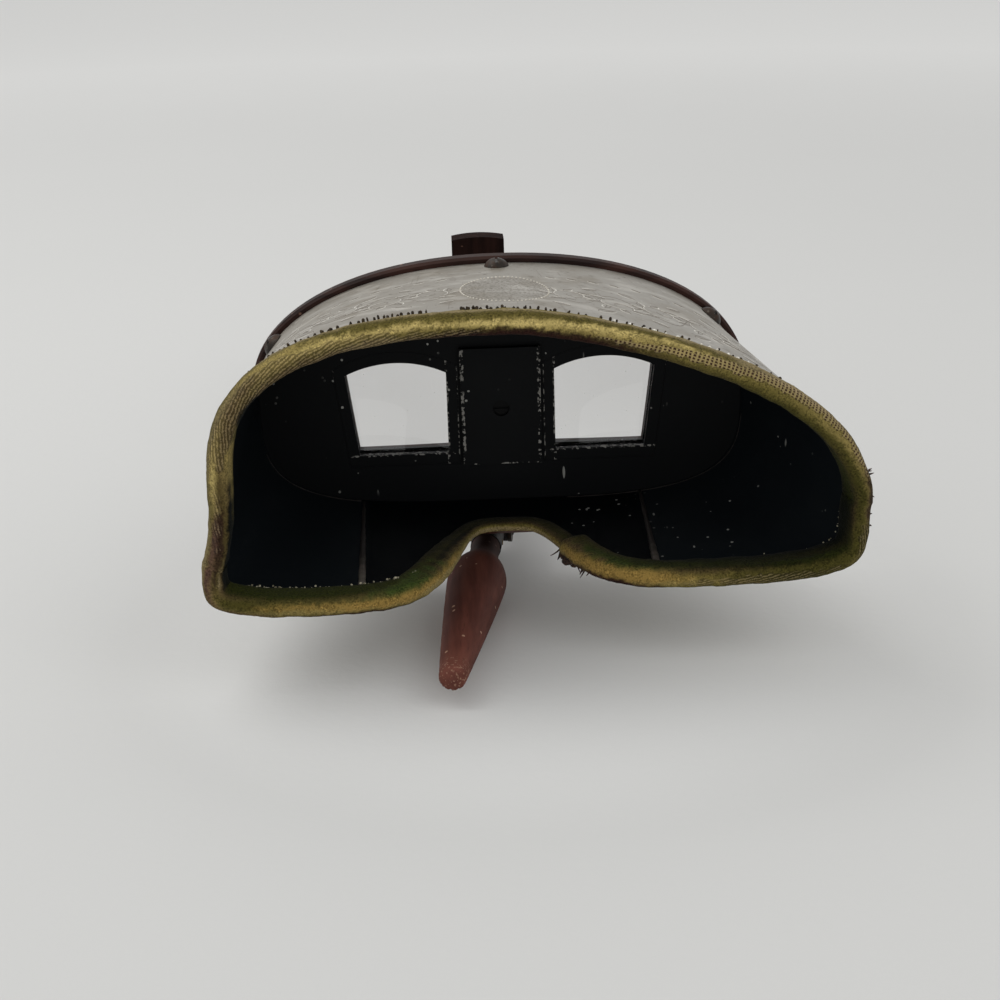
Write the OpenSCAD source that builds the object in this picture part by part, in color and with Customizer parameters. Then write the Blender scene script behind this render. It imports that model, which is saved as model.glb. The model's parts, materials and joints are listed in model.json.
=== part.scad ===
// Hand stereoscope: an arched lens board with a flared sheet-metal hood, a long wooden rail,
// a sliding card carriage with folding wire holders, and a turned handle that folds under the hood.
// Millimetres. +X is the viewer's right, +Y points away from the viewer, +Z is up.
// The origin lies on the rail's flat underside, below the middle of the lens board.

/* [Lens board] */
// Half width of the board at its widest line
board_half_w = 76; // [72:0.5:82]
// Thickness of the board
board_t = 14.5; // [13.5:0.5:18]
// Height of the widest line above the board's foot
shoulder_h = 37; // [34:0.5:42]
// Rise of the arched top above the widest line
crown_h = 40.3; // [37:0.1:46]
// Squareness of the arched top, where 2 is an ellipse
crown_power = 2.15; // [2:0.05:2.6]
// Squareness of the foot's corners
foot_power = 3.7; // [3:0.1:5]
// Rounding of the far edge of the rim that stands out past the hood's sheet
rim_round = 1.6; // [0.8:0.1:2]

/* [Lenses] */
// Half distance between the two apertures
aperture_inner = 16.4; // [15:0.1:20]
// Width of an aperture at the top corners
aperture_top_w = 30.6; // [28:0.1:32]
// Width of an aperture at the bottom
aperture_foot_w = 27.3; // [24:0.1:28]
// Height of the aperture's bottom above the board's foot
aperture_z = 18.4; // [16:0.1:22]
// Height of the aperture's side edges
aperture_side_h = 25.5; // [22:0.1:28]
// Radius of the arched top of an aperture
aperture_arch_r = 35; // [30:0.5:50]
// Width of the bead that frames a lens
bead_w = 3.4; // [2.6:0.1:3.6]
// Thickness of the bead
bead_t = 2.2; // [1.6:0.1:2.6]
// Thickness of a lens at its optical centre, near the outer edge
lens_t = 7.6; // [7:0.1:8]
// Radius of a lens's curved face
lens_r = 99; // [94:1:130]
// Distance of a lens's optical centre from the middle of the board
lens_centre_x = 46; // [44:0.5:48]
// Half width of the panel between the lenses, at its top
panel_half_w = 12.2; // [11:0.1:12.4]
// Half width of the panel at its foot
panel_foot_half_w = 11.9; // [10.8:0.1:12.2]
// Height of the panel
panel_h = 36.5; // [32:0.5:40]
// Thickness of the panel
panel_t = 2.2; // [1.6:0.1:3]
// Height of the panel's screw above the board's foot
panel_screw_z = 32.7; // [28:0.1:38]

/* [Hood] */
// Thickness of the sheet
sheet_t = 0.7; // [0.5:0.1:1]
// Length of sheet that laps over the board's edge
hood_lap = 8; // [8:0.5:9.5]
// Reach of the rear edge to the viewer's left
reach_left = 83.6; // [78:0.1:92]
// Reach of the rear edge to the viewer's right, where the sheet is spread
reach_right = 101.3; // [90:0.1:104]
// Height of the rear edge's top above the board's foot
rear_top = 78.4; // [74:0.2:84]
// Height of the rear edge's underside above the board's foot
rear_foot = -3.1; // [-4:0.1:2]
// Height of the widest point on the left of the rear edge
wide_left_z = 12.3; // [7:0.1:16]
// Height of the widest point on the right of the rear edge
wide_right_z = 17.5; // [10:0.5:24]
// Squareness of the rear edge's upper left
left_power = 2.8; // [2.2:0.1:4]
// Share of its width by which the upper left leans outward
left_lean = 0.05; // [0:0.01:0.1]
// Depth of the dent that presses the left side in
left_dent = 0.48; // [0:0.02:0.6]
// Squareness of the rear edge's upper right
right_power = 1.5; // [1.4:0.05:2.4]
// Share of its width by which the upper right leans outward
right_lean = 0.2; // [0:0.01:0.24]
// Squareness of the rear edge's lower corners
lobe_power = 6.5; // [4:0.5:7]
// Depth of the hood at the middle of the forehead
forehead_depth = 73.7; // [62:0.1:76]
// Depth of the hood at its left side
left_depth = 71; // [62:0.5:80]
// Depth of the hood at its right side
right_depth = 62.7; // [60:0.1:80]
// Depth that is left at the bottom of the nose notch
nose_depth = 21; // [11:0.5:24]
// Half width of the nose notch at half its depth
nose_half_w = 18.5; // [16:0.5:22]
// Steepness of the nose notch's sides
nose_power = 4.5; // [3:0.5:5.5]

/* [Hood binding] */
// Length of the folded ribbon's legs over the sheet
ribbon_leg = 7.5; // [6:0.25:8]
// Thickness of the ribbon outside the sheet
ribbon_out_t = 1.6; // [1.2:0.1:2.2]
// Thickness of the ribbon's pile inside the sheet
ribbon_in_t = 3.8; // [2:0.1:4.2]
// Height of the fold past the sheet's edge
ribbon_fold = 3; // [1.8:0.1:3.4]

/* [Hood screws] */
// Radius of a domed head
hood_head_r = 3.7; // [3:0.1:4.2]
// Height of a domed head
hood_head_h = 2.3; // [1.6:0.1:2.8]
// Radius of the shank
hood_shank_r = 1.3; // [1:0.05:1.5]
// Length of the shank in the board
hood_shank_l = 10; // [8:0.5:11]

/* [Rail] */
// Width of the rail
rail_w = 23.8; // [22:0.1:25]
// Thickness of the rail
rail_t = 9.5; // [8:0.1:11]
// Length of the rail in front of the lens board
rail_reach = 291; // [270:1:310]
// Chamfer along the rail's edges
rail_chamfer = 0.9; // [0.5:0.1:1.4]
// Bevel under the rail's front end
rail_nose = 2.5; // [1.5:0.5:4]
// Thickness of the end stop along the rail
stop_t = 12; // [10:0.5:14]
// Height of the end stop at the middle of its arched top
stop_h = 26.4; // [20:0.2:28]
// Radius of the end stop's arched top
stop_arch_r = 60; // [18:1:80]

/* [Septum] */
// Thickness of the dividing board
septum_t = 3; // [2:0.1:4]
// Length of the dividing board in front of the lens board
septum_l = 64; // [50:1:68]
// Height of the dividing board above the rail
septum_h = 58; // [50:0.5:62]
// Radius of its rounded front corner, from its lower rear corner
septum_r = 67; // [64:0.5:78]
// Width and height of the cleats beside its foot
cleat_w = 4; // [3:0.1:4.6]
// Length of the cleats
cleat_l = 50; // [40:1:60]

/* [Handle] */
// Distance of the bracket's swivel screw in front of the origin
swivel_y = 52.8; // [50:0.5:58]
// Angle that the bracket is turned from the rail's line
swivel_angle = 6.9; // [0:0.1:12]
// Distance from the swivel screw to the handle's hinge
hinge_back = 31; // [30:0.5:34]
// Depth of the hinge axis under the rail
hinge_drop = 8; // [7.8:0.1:9.4]
// Radius of the hinge pin
hinge_pin_r = 1.5; // [1.2:0.05:1.8]
// Thickness of the bracket's sheet
bracket_t = 1.2; // [0.8:0.1:1.4]
// Width of the bracket's plate
bracket_w = 17; // [16:0.5:20]
// Width of the ferrule's eye
eye_w = 11; // [9:0.5:12]
// Distance from the hinge axis to the handle's tip
handle_l = 117.5; // [105:0.5:125]
// Radius of the handle's neck
neck_r = 4.6; // [4:0.1:4.8]
// Radius of the handle's belly
belly_r = 9; // [8:0.1:9.6]
// Distance of the belly from the hinge axis
belly_at = 48; // [46:0.5:56]
// Radius of the handle's tip
tip_r = 3.7; // [3:0.1:4.5]
// Length of the ferrule
ferrule_l = 18; // [16:0.5:20]
// Thickness of the ferrule's wall
ferrule_t = 0.8; // [0.6:0.05:0.9]

/* [Card carriage] */
// Distance of the carriage from the origin at rest
carriage_y = 225; // [90:1:272]
// Length of the crossbar
crossbar_l = 165; // [158:1:170]
// Depth of the crossbar along the rail
crossbar_d = 16; // [15:0.5:20]
// Depth of the crossbar's ends
crossbar_end_d = 13; // [12:0.5:15]
// Height of the crossbar's bridge over the rail
bridge_t = 4.6; // [4:0.1:6]
// Width of the crossbar's middle block
block_w = 42; // [40:0.5:48]
// Depth of the middle block's cheeks below the rail
cheek_drop = 1.5; // [1.3:0.1:2.5]
// Height of the arms
arm_h = 14; // [11:0.5:14.5]
// Thickness of the keeper plate
keeper_t = 1; // [0.8:0.1:1.5]

/* [Card wires] */
// Diameter of the wire
wire_d = 1.8; // [1.4:0.1:2]
// Width of a wire loop
loop_w = 20; // [16:0.5:24]
// Height of the rear loop above its pivot
loop_h = 62; // [50:0.5:66]
// Height of the front loop above its pivot
front_loop_h = 44; // [36:0.5:48]
// Clear gap between the loops for a card
card_gap = 2.8; // [2.6:0.1:3.4]
// Distance of a wire holder's outer leg from the crossbar's end
wire_inset = 6.5; // [5.5:0.5:8]
// Radius of the wire's bends, to the middle of the wire
bend_r = 2; // [1.8:0.1:2.2]

/* [Hidden] */

// Running gap around a pin, shaft or screw
run_gap = 0.08;
// Seating gap between pieces that are fixed together
seat_gap = 0.1;
// Sliding gap between the carriage and the rail
slide_gap = 0.35;
// Step of the brown rim outside the hood's sheet
rim_step = 2;
// Facets of a full turn on exact round forms
$fn = 64;

// Colours
mahogany = "#43201a";
rail_brown = "#5a2a1e";
handle_red = "#6a2c22";
black_paint = "#15140f";
sheet_grey = "#aaa69a";
velvet = "#8d8a3c";
dark_iron = "#3a342e";
brass = "#9a8450";
clear_glass = "#dfe8ea";

y_in = -board_t / 2;
y_out = board_t / 2;
foot_z = rail_t;
hood_seat = rim_step + sheet_t + seat_gap;
rear_plane = 72;

// A side of an outline: half width, height of the widest line, rise, power, drop, power, lean, dent
board_side = [board_half_w, foot_z + shoulder_h, crown_h, crown_power, shoulder_h, foot_power, 0, 0];
board_sides = [board_side, board_side];
rear_sides = [
    [reach_left, foot_z + wide_left_z, rear_top - wide_left_z, left_power,
        wide_left_z - rear_foot, lobe_power, left_lean, left_dent],
    [reach_right, foot_z + wide_right_z, rear_top - wide_right_z, right_power,
        wide_right_z - rear_foot, lobe_power, right_lean, 0]];

// Angles round an outline, closer together at the nose notch
notch_from = 242;
notch_step = 2;
around = concat([for (t = [notch_from : notch_step : 540 - notch_from - notch_step]) t],
    [for (t = [540 - notch_from : 3.1 : notch_from + 360 - 1.5]) t]);
coarse = [for (t = [0 : 3 : 357]) t];

// Point of a four-quarter outline at angle t, in X and Z
function oval(t, sides, inset) =
    let (q = cos(t) < 0 ? sides[0] : sides[1],
        up = sin(t) >= 0,
        n = up ? q[3] : q[5],
        b = (up ? q[2] : q[4]) - inset,
        k = pow(pow(abs(cos(t)), n) + pow(abs(sin(t)), n), 1 / n),
        h = max(0, sin(t)) / k,
        bent = 1 + q[6] * h - q[7] * h * pow(1 - h, 3))
    [(q[0] - inset) * cos(t) / k * bent, q[1] + b * sin(t) / k];
function mix(a, b, k) = a + (b - a) * k;
function unit(v) = v / norm(v);

// Depth of the hood's rear edge behind the board at angle t
function side_depth(t) = cos(t) < 0 ? left_depth : right_depth;
function notch_x(t) = mix(oval(t, board_sides, rim_step)[0], oval(t, rear_sides, 0)[0],
    (side_depth(t) + nose_depth) / 2 / rear_plane);
function depth(t) = sin(t) >= 0
    ? mix(forehead_depth, side_depth(t), pow(cos(t), 2))
    : mix(side_depth(t), nose_depth, 1 / (1 + pow(abs(notch_x(t)) / nose_half_w, nose_power)));

// Point of the sheet at angle t, a share s of the way to its rear edge, at inset from its outside
function wall(t, s, inset) =
    let (d = depth(t) * s,
        p = mix(oval(t, board_sides, rim_step + inset), oval(t, rear_sides, inset), d / rear_plane))
    [p[0], y_in - d, p[1]];
function front_ring(inset) = [for (t = around)
    let (p = oval(t, board_sides, rim_step + inset)) [p[0], y_in + hood_lap - seat_gap, p[1]]];
function wall_ring(s, inset) = [for (t = around) wall(t, s, inset)];

// Solid between rings of equal count, closed by its ends
module loft(rings) {
    n = len(rings[0]);
    m = len(rings);
    polyhedron([for (r = rings) each r], concat(
        [[for (j = [0 : n - 1]) j]],
        [for (i = [0 : m - 2], j = [0 : n - 1]) let (k = (j + 1) % n)
            each [[i * n + j, (i + 1) * n + j, (i + 1) * n + k], [i * n + j, (i + 1) * n + k, i * n + k]]],
        [[for (j = [n - 1 : -1 : 0]) (m - 1) * n + j]]));
}

// Solid between rings of equal count, where the last ring meets the first
module loft_loop(rings) {
    n = len(rings[0]);
    m = len(rings);
    polyhedron([for (r = rings) each r],
        [for (i = [0 : m - 1], j = [0 : n - 1]) let (k = (j + 1) % n, i2 = (i + 1) % m)
            each [[i * n + j, i2 * n + j, i2 * n + k], [i * n + j, i2 * n + k, i * n + k]]]);
}

// Places its children on the edge of the board's seat at angle t, +Z outward
module at_edge(t) {
    p = oval(t, board_sides, hood_seat);
    ahead = oval(t + 0.5, board_sides, hood_seat);
    translate([p[0], y_in + hood_lap - hood_head_r - 3 * seat_gap, p[1]])
        rotate([0, 90 - atan2(ahead[1] - p[1], ahead[0] - p[0]) + 90, 0])
            children();
}
hood_screw_at = [90, 31, 155, -22, 202, -62, 242];

// Domed slotted head, flat side on z = 0
module dome_head(r, h, slot_w) {
    ball = (r * r + h * h) / (2 * h);
    difference() {
        intersection() {
            translate([0, 0, h - ball]) sphere(ball);
            cylinder(r = r, h = h);
        }
        if (slot_w > 0) translate([-slot_w / 2, -r, h * 0.62]) cube([slot_w, 2 * r, h]);
    }
}

// Straight wood-screw shank that points down from z = 0
module shank(r, l) {
    translate([0, 0, -l + r]) cylinder(r = r, h = l - r);
    translate([0, 0, -l]) cylinder(r1 = r * 0.3, r2 = r, h = r);
}

// Outline of a right-hand aperture in X and Z above the board's foot, grown all round
module lens_shape(grow) {
    x0 = aperture_inner;
    mid = x0 + aperture_top_w / 2;
    rise = aperture_arch_r - sqrt(pow(aperture_arch_r, 2) - pow(aperture_top_w / 2, 2));
    top = aperture_z + aperture_side_h + rise;
    slant = (aperture_top_w - aperture_foot_w) / aperture_side_h;
    intersection() {
        polygon([[x0 - grow, aperture_z - grow],
            [x0 + aperture_foot_w + grow * (1 - slant), aperture_z - grow],
            [x0 + aperture_foot_w + slant * (top - aperture_z + grow) + grow, top + grow],
            [x0 - grow, top + grow]]);
        translate([mid, top - aperture_arch_r]) circle(aperture_arch_r + grow, $fn = 128);
    }
}

// Extrudes a shape drawn in X and Z from y to y + depth, standing on the board's foot
module along_y(y, d) {
    translate([0, y + d, foot_z]) rotate([90, 0, 0]) linear_extrude(d) children();
}
module both_sides() {
    children();
    mirror([1, 0, 0]) children();
}
lens_y = y_in + bead_t + seat_gap;
ledge_y = lens_y + lens_t + seat_gap;

module lens_board() color(mahogany) difference() {
    loft([for (r = [[y_in, hood_seat], [y_in + hood_lap, hood_seat], [y_in + hood_lap, rim_round / 2],
            [y_in + hood_lap + rim_round / 2, 0], [y_out - rim_round, 0],
            [y_out - rim_round / 3, rim_round / 4], [y_out, rim_round]])
        [for (t = coarse) let (p = oval(t, board_sides, r[1])) [p[0], r[0], p[1]]]]);
    both_sides() {
        along_y(y_in - 1, ledge_y - y_in + 1) lens_shape(bead_w + seat_gap);
        along_y(y_in, board_t + 1) lens_shape(0.4);
    }
    for (t = hood_screw_at) at_edge(t) translate([0, 0, -hood_shank_l - 0.5])
        cylinder(r = hood_shank_r + run_gap, h = hood_shank_l + 2, $fn = 24);
    translate([0, y_in - 1, foot_z + panel_screw_z]) rotate([-90, 0, 0])
        cylinder(r = panel_screw_r + run_gap, h = panel_screw_l + 1.5, $fn = 24);
    for (x = [-1, 1] * rail_screw_x) translate([x, rail_screw_y, 0])
        cylinder(r = rail_screw_r + run_gap, h = foot_z + rail_screw_bite + 0.5, $fn = 24);
    translate([-septum_t / 2 - seat_gap, y_out - septum_groove, foot_z - 1])
        cube([septum_t + 2 * seat_gap, septum_groove + 1, septum_h + 1 + seat_gap]);
}

module hood() color(sheet_grey) difference() {
    loft_loop([front_ring(0), wall_ring(0, 0), wall_ring(1 / 3, 0), wall_ring(2 / 3, 0), wall_ring(1, 0),
        wall_ring(1, sheet_t), wall_ring(2 / 3, sheet_t), wall_ring(1 / 3, sheet_t),
        wall_ring(0, sheet_t), front_ring(sheet_t)]);
    for (t = hood_screw_at) at_edge(t) translate([0, 0, -hood_lap / 2])
        cylinder(r = hood_shank_r + 3 * seat_gap, h = hood_lap, $fn = 24);
}

// Frame of the sheet's rear edge at station i: point, way into the sheet and way outward
function edge_frame(i) =
    let (n = len(around),
        p = wall(around[i], 1, sheet_t / 2),
        along = unit(wall(around[(i + 1) % n], 1, sheet_t / 2) - wall(around[(i + n - 1) % n], 1, sheet_t / 2)),
        inward = unit(wall(around[i], 0.8, sheet_t / 2) - p),
        out = unit(cross(inward, along)))
    [p, unit(cross(along, out)), out];
// Section of the folded ribbon: way into the sheet, way outward
slot_half = sheet_t / 2 + seat_gap;
ribbon_section = [
    [-seat_gap, slot_half], [ribbon_leg, slot_half], [ribbon_leg - 1, slot_half + ribbon_out_t],
    [0, slot_half + ribbon_out_t], [-ribbon_fold * 0.85, 0.5], [-ribbon_fold, -ribbon_in_t * 0.45],
    [-ribbon_fold * 0.5, -ribbon_in_t - slot_half + 0.4], [ribbon_leg - 1.2, -slot_half - ribbon_in_t],
    [ribbon_leg, -slot_half], [-seat_gap, -slot_half]];

module hood_binding() color(velvet)
    loft_loop([for (i = [0 : len(around) - 1]) let (f = edge_frame(i))
        [for (q = ribbon_section) f[0] + f[1] * q[0] + f[2] * q[1]]]);

module hood_screws() color(dark_iron)
    for (t = hood_screw_at) at_edge(t) {
        translate([0, 0, sheet_t + 2 * seat_gap]) dome_head(hood_head_r, hood_head_h, 0.8);
        translate([0, 0, sheet_t + 2 * seat_gap]) shank(hood_shank_r, hood_shank_l);
    }

// Wedge-shaped half lens: flat towards the viewer, thickest near its outer edge
module lens() color(clear_glass, 0.5) intersection() {
    along_y(lens_y, lens_t) lens_shape(bead_w - seat_gap);
    translate([lens_centre_x, lens_y + lens_t - lens_r, foot_z + aperture_z + aperture_side_h / 2])
        sphere(lens_r, $fn = 128);
}
module lens_right() lens();
module lens_left() mirror([1, 0, 0]) lens();

module lens_bead() color(black_paint) along_y(y_in, bead_t) difference() {
    lens_shape(bead_w);
    lens_shape(0);
}
module lens_bead_right() lens_bead();
module lens_bead_left() mirror([1, 0, 0]) lens_bead();

panel_screw_r = 1.4;
panel_screw_l = 8;
panel_hole_r = 2.5;
panel_z = aperture_z - bead_w;
module centre_panel() color(black_paint) difference() {
    along_y(y_in - panel_t - seat_gap, panel_t) polygon([[-panel_foot_half_w, panel_z],
        [panel_foot_half_w, panel_z], [panel_half_w, panel_z + panel_h], [-panel_half_w, panel_z + panel_h]]);
    translate([0, y_in - panel_t - 1, foot_z + panel_screw_z]) rotate([-90, 0, 0])
        cylinder(r = panel_hole_r, h = panel_t + 2);
}
module panel_screw() color(dark_iron) translate([0, y_in - seat_gap, foot_z + panel_screw_z])
    rotate([90, 0, 0]) {
        difference() {
            cylinder(r = panel_hole_r - run_gap, h = 1.2);
            translate([-2.5, -0.4, 0.6]) cube([5, 0.8, 1]);
        }
        shank(panel_screw_r, panel_screw_l);
    }

septum_groove = 2;
module septum() color(black_paint)
    translate([-septum_t / 2, y_out - septum_groove + seat_gap, foot_z + seat_gap]) rotate([90, 0, 90])
        linear_extrude(septum_t) intersection() {
            square([septum_l, septum_h]);
            circle(septum_r, $fn = 128);
        }
module septum_cleats() color(rail_brown) both_sides()
    translate([septum_t / 2 + seat_gap, y_out + 2 + cleat_l, foot_z + seat_gap]) rotate([90, 0, 0])
        linear_extrude(cleat_l) intersection() {
            square(cleat_w);
            circle(cleat_w);
        }

rail_screw_r = 1.8;
rail_screw_x = 7;
rail_screw_y = (y_in + hood_lap + y_out) / 2;
rail_screw_bite = 9;
countersunk_r = 3.6;
countersunk_h = 2.2;
swivel_shank_r = 2;
swivel_bite = 7;
stop_screw_r = 1.8;
stop_y = y_out + rail_reach - stop_t / 2;
rail_end = y_out + rail_reach;

// Countersunk screw that points up from a head flush with z = 0
module countersunk_screw(r, l) {
    difference() {
        union() {
            cylinder(r1 = countersunk_r, r2 = r, h = countersunk_h);
            cylinder(r = r, h = l - r);
            translate([0, 0, l - r]) cylinder(r1 = r, r2 = r * 0.3, h = r);
        }
        translate([-0.5, -countersunk_r, -1]) cube([1, 2 * countersunk_r, 1.7]);
    }
}
// Hole for a countersunk screw
module countersunk_hole(r) {
    translate([0, 0, -0.5])
        cylinder(r1 = countersunk_r + run_gap + 0.5, r2 = r + run_gap, h = countersunk_h + 0.5 + run_gap);
    cylinder(r = r + run_gap, h = rail_t + 1);
}

module rail() color(rail_brown) difference() {
    translate([0, rail_end, rail_t / 2]) rotate([90, 0, 0]) linear_extrude(rail_end - y_in) {
        w = rail_w / 2;
        h = rail_t / 2;
        c = rail_chamfer;
        polygon([[-w + c, -h], [w - c, -h], [w, -h + c], [w, h - c], [w - c, h], [-w + c, h],
            [-w, h - c], [-w, -h + c]]);
    }
    translate([0, y_in, 0]) rotate([45, 0, 0])
        cube([rail_w + 1, rail_nose * sqrt(2), rail_nose * sqrt(2)], center = true);
    for (x = [-1, 1] * rail_screw_x) translate([x, rail_screw_y, 0]) countersunk_hole(rail_screw_r);
    translate([0, stop_y, 0]) countersunk_hole(stop_screw_r);
    translate([0, swivel_y, -1]) cylinder(r = swivel_shank_r + run_gap, h = swivel_bite + 1.5);
}
module rail_screws() color(dark_iron)
    for (x = [-1, 1] * rail_screw_x) translate([x, rail_screw_y, seat_gap])
        countersunk_screw(rail_screw_r, rail_t + rail_screw_bite);

module end_stop() color(rail_brown) difference() {
    translate([0, stop_y + stop_t / 2, rail_t + seat_gap]) rotate([90, 0, 0]) linear_extrude(stop_t)
        intersection() {
            translate([-rail_w / 2, 0]) square([rail_w, stop_h]);
            translate([0, stop_h - stop_arch_r]) circle(stop_arch_r, $fn = 128);
        }
    translate([0, stop_y, rail_t - 1]) cylinder(r = stop_screw_r + run_gap, h = 12.5);
}
module end_stop_screw() color(dark_iron) translate([0, stop_y, seat_gap])
    countersunk_screw(stop_screw_r, rail_t + 10);

// Frame of the swivelling bracket: origin at its screw on the rail's underside, -Y to the hinge
module at_swivel() translate([0, swivel_y, 0]) rotate([0, 0, -swivel_angle]) children();
// Frame of the handle: origin on the hinge axis, -Y along the handle
module at_hinge() at_swivel() translate([0, -hinge_back, -hinge_drop]) children();

ear_r = hinge_pin_r + 2.9;
ear_x = eye_w / 2 + 0.3;
module swivel_screw() color(dark_iron) at_swivel() translate([0, 0, -bracket_t - 2 * seat_gap])
    rotate([180, 0, 0]) {
        dome_head(4, 2.2, 1);
        shank(swivel_shank_r, swivel_bite + bracket_t + 2 * seat_gap);
    }
module handle_bracket() color(dark_iron) at_swivel() {
    translate([0, 0, -bracket_t - seat_gap]) linear_extrude(bracket_t) difference() {
        union() {
            circle(bracket_w / 2);
            translate([-bracket_w / 2, -hinge_back - ear_r]) square([bracket_w, hinge_back + ear_r]);
        }
        circle(swivel_shank_r + run_gap);
    }
    for (s = [0, 1]) mirror([s, 0, 0]) translate([ear_x, -hinge_back, 0]) rotate([90, 0, 90])
        linear_extrude(bracket_t) difference() {
            union() {
                translate([0, -hinge_drop]) circle(ear_r);
                translate([-ear_r, -hinge_drop]) square([2 * ear_r, hinge_drop - seat_gap]);
            }
            translate([0, -hinge_drop]) circle(hinge_pin_r + 0.03);
        }
}
pin_half_l = ear_x + bracket_t + 0.1;
module handle_pin() color(dark_iron) at_hinge() rotate([0, 90, 0]) {
    translate([0, 0, -pin_half_l]) cylinder(r = hinge_pin_r, h = 2 * pin_half_l);
    for (s = [0, 1]) mirror([0, 0, s]) translate([0, 0, pin_half_l])
        dome_head(hinge_pin_r + 1.1, 0.9, 0);
}

tenon_r = neck_r - 0.6;
neck_from = hinge_pin_r + 5;
// Radius of the turned handle at a distance from the hinge axis
shoulder_from = 26;
function handle_r(d) = d < belly_at
    ? mix(neck_r, belly_r, (1 - cos(180 * min(1, max(0, (d - shoulder_from) / (belly_at - shoulder_from))))) / 2)
    : mix(belly_r, tip_r, pow((d - belly_at) / (handle_l - belly_at), 1.15));
module handle() color(handle_red) at_hinge() rotate([90, 0, 0]) difference() {
    rotate_extrude() polygon(concat([[0, neck_from + 0.2], [tenon_r, neck_from + 0.2],
            [tenon_r, ferrule_l + seat_gap], [neck_r, ferrule_l + seat_gap]],
        [for (d = [shoulder_from : 2.2 : belly_at]) [handle_r(d), d]],
        [for (k = [0 : 9]) let (d = mix(belly_at + 2.2, handle_l - 1.2, k / 9)) [handle_r(d), d]],
        [[tip_r - 0.3, handle_l - 0.3], [tip_r - 1.4, handle_l], [0, handle_l]]));
    translate([0, 0, rivet_at]) rotate([0, 90, 0]) cylinder(r = rivet_r + 0.02, h = 20, center = true, $fn = 24);
}
rivet_r = 0.9;
rivet_at = 13;
ferrule_r = tenon_r + 0.1 + ferrule_t;
module handle_ferrule() color(dark_iron) at_hinge() difference() {
    union() {
        rotate([0, 90, 0]) cylinder(r = ear_r - 0.2, h = eye_w, center = true);
        rotate([90, 0, 0]) cylinder(r = ferrule_r, h = ferrule_l);
    }
    rotate([0, 90, 0]) cylinder(r = hinge_pin_r + run_gap, h = eye_w + 2, center = true);
    translate([0, -neck_from, 0]) rotate([90, 0, 0]) cylinder(r = tenon_r + 0.1, h = ferrule_l);
    translate([0, -rivet_at, 0]) rotate([0, 90, 0]) cylinder(r = rivet_r + 0.02, h = 20, center = true, $fn = 24);
}
module ferrule_rivet() color(brass) at_hinge() translate([0, -rivet_at, 0]) rotate([0, 90, 0])
    cylinder(r = rivet_r, h = 2 * ferrule_r + 0.4, center = true, $fn = 24);

bar_top = rail_t + slide_gap + bridge_t;
keeper_z = -cheek_drop - seat_gap - keeper_t;
keeper_w = block_w - 2;
keeper_d = crossbar_d - 2;
keeper_screw_x = (rail_w / 2 + slide_gap + block_w / 2) / 2;
keeper_screw_y = 4;
module at_carriage() translate([0, carriage_y, 0]) children();
module crossbar() color(rail_brown) at_carriage() difference() {
    union() {
        translate([0, 0, bar_top - arm_h]) linear_extrude(arm_h) polygon([
            [-crossbar_l / 2, -crossbar_end_d / 2], [-block_w / 2, -crossbar_d / 2],
            [block_w / 2, -crossbar_d / 2], [crossbar_l / 2, -crossbar_end_d / 2],
            [crossbar_l / 2, crossbar_end_d / 2], [block_w / 2, crossbar_d / 2],
            [-block_w / 2, crossbar_d / 2], [-crossbar_l / 2, crossbar_end_d / 2]]);
        translate([-block_w / 2, -crossbar_d / 2, -cheek_drop])
            cube([block_w, crossbar_d, bar_top + cheek_drop]);
    }
    translate([-rail_w / 2 - slide_gap, -crossbar_d, -cheek_drop - 1])
        cube([rail_w + 2 * slide_gap, 2 * crossbar_d, cheek_drop + 1 + rail_t + slide_gap]);
    for (x = [-1, 1] * keeper_screw_x, y = [-1, 1] * keeper_screw_y) translate([x, y, -cheek_drop - 1])
        cylinder(r = keeper_screw_r + run_gap, h = keeper_screw_l, $fn = 24);
    both_sides() for (x = staple_x) for (y = [-1, 1] * staple_leg)
        translate([x, wire_y + y, bar_top - staple_bite])
            cylinder(r = staple_wire_r + run_gap, h = staple_bite + 2, $fn = 24);
}
keeper_screw_r = 1.1;
keeper_screw_l = 8;
module keeper_plate() color(brass) at_carriage() translate([0, 0, keeper_z]) linear_extrude(keeper_t)
    difference() {
        square([keeper_w, keeper_d], center = true);
        for (x = [-1, 1] * keeper_screw_x, y = [-1, 1] * keeper_screw_y) translate([x, y])
            circle(keeper_screw_r + run_gap, $fn = 24);
    }
module keeper_screws() color(dark_iron) at_carriage()
    for (x = [-1, 1] * keeper_screw_x, y = [-1, 1] * keeper_screw_y)
        translate([x, y, keeper_z - seat_gap]) rotate([180, 0, 0]) {
            dome_head(2, 1.1, 0.5);
            shank(keeper_screw_r, keeper_screw_l - 1);
        }
// Bowed leaf between the keeper plate and the rail
leaf_t = 0.3;
leaf_w = 10;
leaf_l = keeper_d - 1;
leaf_rise = cheek_drop - leaf_t - 0.12;
leaf_r = (pow(leaf_l / 2, 2) + pow(leaf_rise, 2)) / (2 * leaf_rise);
module friction_spring() color(brass) at_carriage()
    translate([-leaf_w / 2, 0, keeper_z + keeper_t + 0.05]) rotate([90, 0, 90]) linear_extrude(leaf_w)
        intersection() {
            translate([-leaf_l / 2, 0]) square([leaf_l, leaf_rise + leaf_t]);
            translate([0, leaf_rise - leaf_r]) difference() {
                circle(leaf_r + leaf_t, $fn = 256);
                circle(leaf_r, $fn = 256);
            }
        }

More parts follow.
